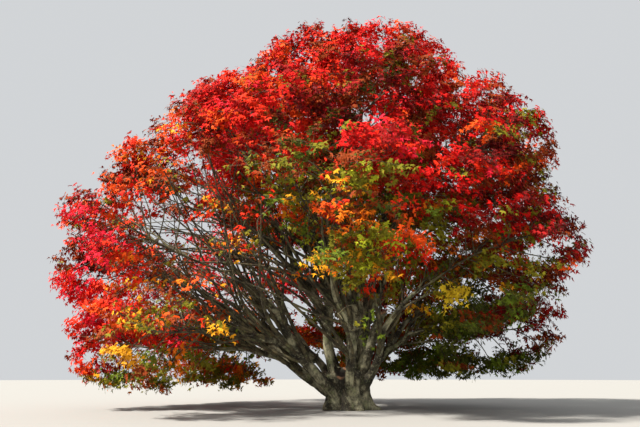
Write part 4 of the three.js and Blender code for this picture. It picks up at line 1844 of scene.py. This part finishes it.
    def dealing(self, place: Array, count: int) -> Array:
        """Deal tints to a pad's shoots: many take the pad's own tint, the others one more of its region's.

        Args:
            place: Where the pad is.
            count: How many shoots it has.

        Returns:
            The number of each shoot's tint.
        """
        habit = self.tinting
        sway = [lattice_noise(place[None] * habit.border_scale, noise)[0] for noise in habit.border_noises]
        moved = place + np.array(sway) * habit.border_sway
        far = np.array([sum(((moved - zone.centre) / zone.spread) ** 2) for zone in ZONES])
        near = np.exp(habit.sharpness * (far.min() - far))
        zone = ZONES[self.random.choice(len(ZONES), p=near / near.sum())]
        dusky = lattice_noise(place[None] * habit.dusk_scale, habit.dusk_noise)[0] > habit.dusk_over
        palette = Palette.BROWNS if dusky and zone.palette is Palette.REDS else zone.palette
        deal = np.array([palette.value.get(tint, 0.0) for tint in TINTS], dtype=float)
        dealt = self.random.choice(len(TINTS), count + 1, p=deal / deal.sum())
        return np.where(self.random.random(count) < habit.own_share, dealt[0], dealt[1:])

    def leaves_object(self, kit: SprayKit) -> Object:
        """Make the mass's leaves.

        Args:
            kit: The node trees and finishes.

        Returns:
            The object.
        """
        place, aims, lie = (np.concatenate(rows) for rows in (self.leaves, self.aims, self.normals))
        size, tint = np.concatenate(self.sizes), np.concatenate(self.dealt)
        name = f"leaves_{self.space.name}"
        mesh = mesh_of(name, place, [])
        rows = {
            "turn": ("QUATERNION", quaternions(np.cross(aims, lie), aims, lie)),
            "size": ("FLOAT", size),
            "tint": ("INT", tint),
            "shape": ("INT", (np.arange(len(place)) * GOLDEN_SHARE % 1 > 0.5).astype(np.int32)),
        }
        for extra, (kind, values) in rows.items():
            write(mesh, extra, kind, values)
        obj = kit.leaf_tree.dress(shown(name, mesh), {"Leaf Length": kit.leaf_length})
        for extra in rows:
            if extra in obj.data.attributes:
                obj.data.attributes.remove(obj.data.attributes[extra])
        return obj

    def twigs_object(self, kit: SprayKit) -> Object:
        """Make the mass's wood.

        Args:
            kit: The node trees and finishes.

        Returns:
            The object.
        """
        points = np.concatenate([line for line, _, _ in self.lines])
        girth = np.concatenate([radii for _, radii, _ in self.lines])
        stout = np.concatenate([np.full(len(line), thick) for line, _, thick in self.lines])
        edges, count = [], 0
        for line, _, _ in self.lines:
            edges += [(count + i, count + i + 1) for i in range(len(line) - 1)]
            count += len(line)
        name = f"twigs_{self.space.name}"
        mesh = mesh_of(name, points, [], edges)
        write(mesh, "girth", "FLOAT", girth)
        write(mesh, "stout", "BOOLEAN", stout)
        sizes = {"Fine Sides": kit.fine_sides, "Stout Sides": kit.stout_sides}
        return kit.twig_tree.dress(shown(name, mesh), sizes)


@dataclass
class Studio:
    """The pale floor, the soft light and the camera at the photograph's angle."""

    eye: Triple = (-0.7, -16.5, 0.85)
    pitch: float = 14.08
    lens: float = 36.0
    sensor: float = 36.0
    farthest: float = 400.0
    floor_radius: float = 90.0
    floor_sides: int = 96
    floor_drop: float = 0.003
    floor_roughness: float = 0.95
    floor_colour: str = "9a9893"
    sky_colour: str = "eef1f4"
    sky_strength: float = 0.75
    sun_strength: float = 9.5
    sun_width: float = 4.0
    sun_colour: Triple = (1.0, 0.96, 0.9)
    sun_aim: Pair = (205.0, 44.0)

    def build(self) -> None:
        """Set the stage, the lights and the camera."""
        angle, radius = ring_angles(self.floor_sides), self.floor_radius
        rim = np.stack((np.cos(angle) * radius, np.sin(angle) * radius, 0 * angle - self.floor_drop), axis=1)
        floor = shown("floor", mesh_of("floor", rim, [list(range(self.floor_sides))]))
        paint = bpy.data.materials.new("floor_paint")
        paint.use_nodes = True
        shader = paint.node_tree.nodes["Principled BSDF"]
        shader.inputs["Base Color"].default_value = linear(self.floor_colour)
        shader.inputs["Roughness"].default_value = self.floor_roughness
        floor.data.materials.append(paint)
        self.light()
        camera = bpy.data.cameras.new("camera")
        camera.lens = self.lens
        camera.sensor_width = self.sensor
        camera.clip_end = self.farthest
        view = bpy.data.objects.new("camera", camera)
        view.location = self.eye
        view.rotation_euler = (math.radians(90 + self.pitch), 0, 0)
        bpy.context.scene.collection.objects.link(view)
        bpy.context.scene.camera = view

    def light(self) -> None:
        """Light the scene with a pale sky and one soft sun from the upper left."""
        scene = bpy.context.scene
        scene.view_settings.view_transform = "Standard"
        world = scene.world or bpy.data.worlds.new("sky")
        scene.world = world
        world.use_nodes = True
        back = world.node_tree.nodes["Background"]
        back.inputs["Color"].default_value = linear(self.sky_colour)
        back.inputs["Strength"].default_value = self.sky_strength
        sun = bpy.data.lights.new("sun", "SUN")
        sun.energy = self.sun_strength
        sun.angle = math.radians(self.sun_width)
        sun.color = self.sun_colour
        lamp = bpy.data.objects.new("sun", sun)
        azimuth, lift = self.sun_aim
        lamp.rotation_euler = (math.radians(90 - lift), 0, math.radians(azimuth + 90))
        scene.collection.objects.link(lamp)


def stand_for(obj: Object, node: str) -> None:
    """Let a piece ride on the tree's body in place of a solid.

    Args:
        obj: The piece.
        node: The solid's name.
    """
    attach(obj, BODY)
    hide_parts(node)
    LOG.info("%s: %d faces", obj.name, len(obj.data.polygons))


def main() -> None:
    """Build the tree from the trunk outwards, then the studio round it."""
    logging.basicConfig(level=logging.INFO, format="%(name)s: %(message)s")
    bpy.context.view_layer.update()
    Studio().build()
    boughs = make_boughs(make_spaces())
    bark = BarkFinish("bark_old").material()
    stand_for(Trunk(boughs).build(bark), "trunk")
    for bough in boughs:
        limb = shown(f"limb_{bough.space.name}", bough.bark_mesh())
        limb.data.materials.append(bark)
        stand_for(limb, f"bough_{bough.space.name}")
    kit = SprayKit()
    pads: list[Array] = []
    for number, bough in enumerate(boughs):
        mass = Foliage(bough, number, pads)
        mass.grow()
        node = f"mass_{bough.space.name}"
        stand_for(mass.twigs_object(kit), node)
        stand_for(mass.leaves_object(kit), node)
    for shape in kit.shapes:
        bpy.data.objects.remove(shape)
    LOG.info("%d pads", len(pads))


if __name__ == "__main__":
    main()
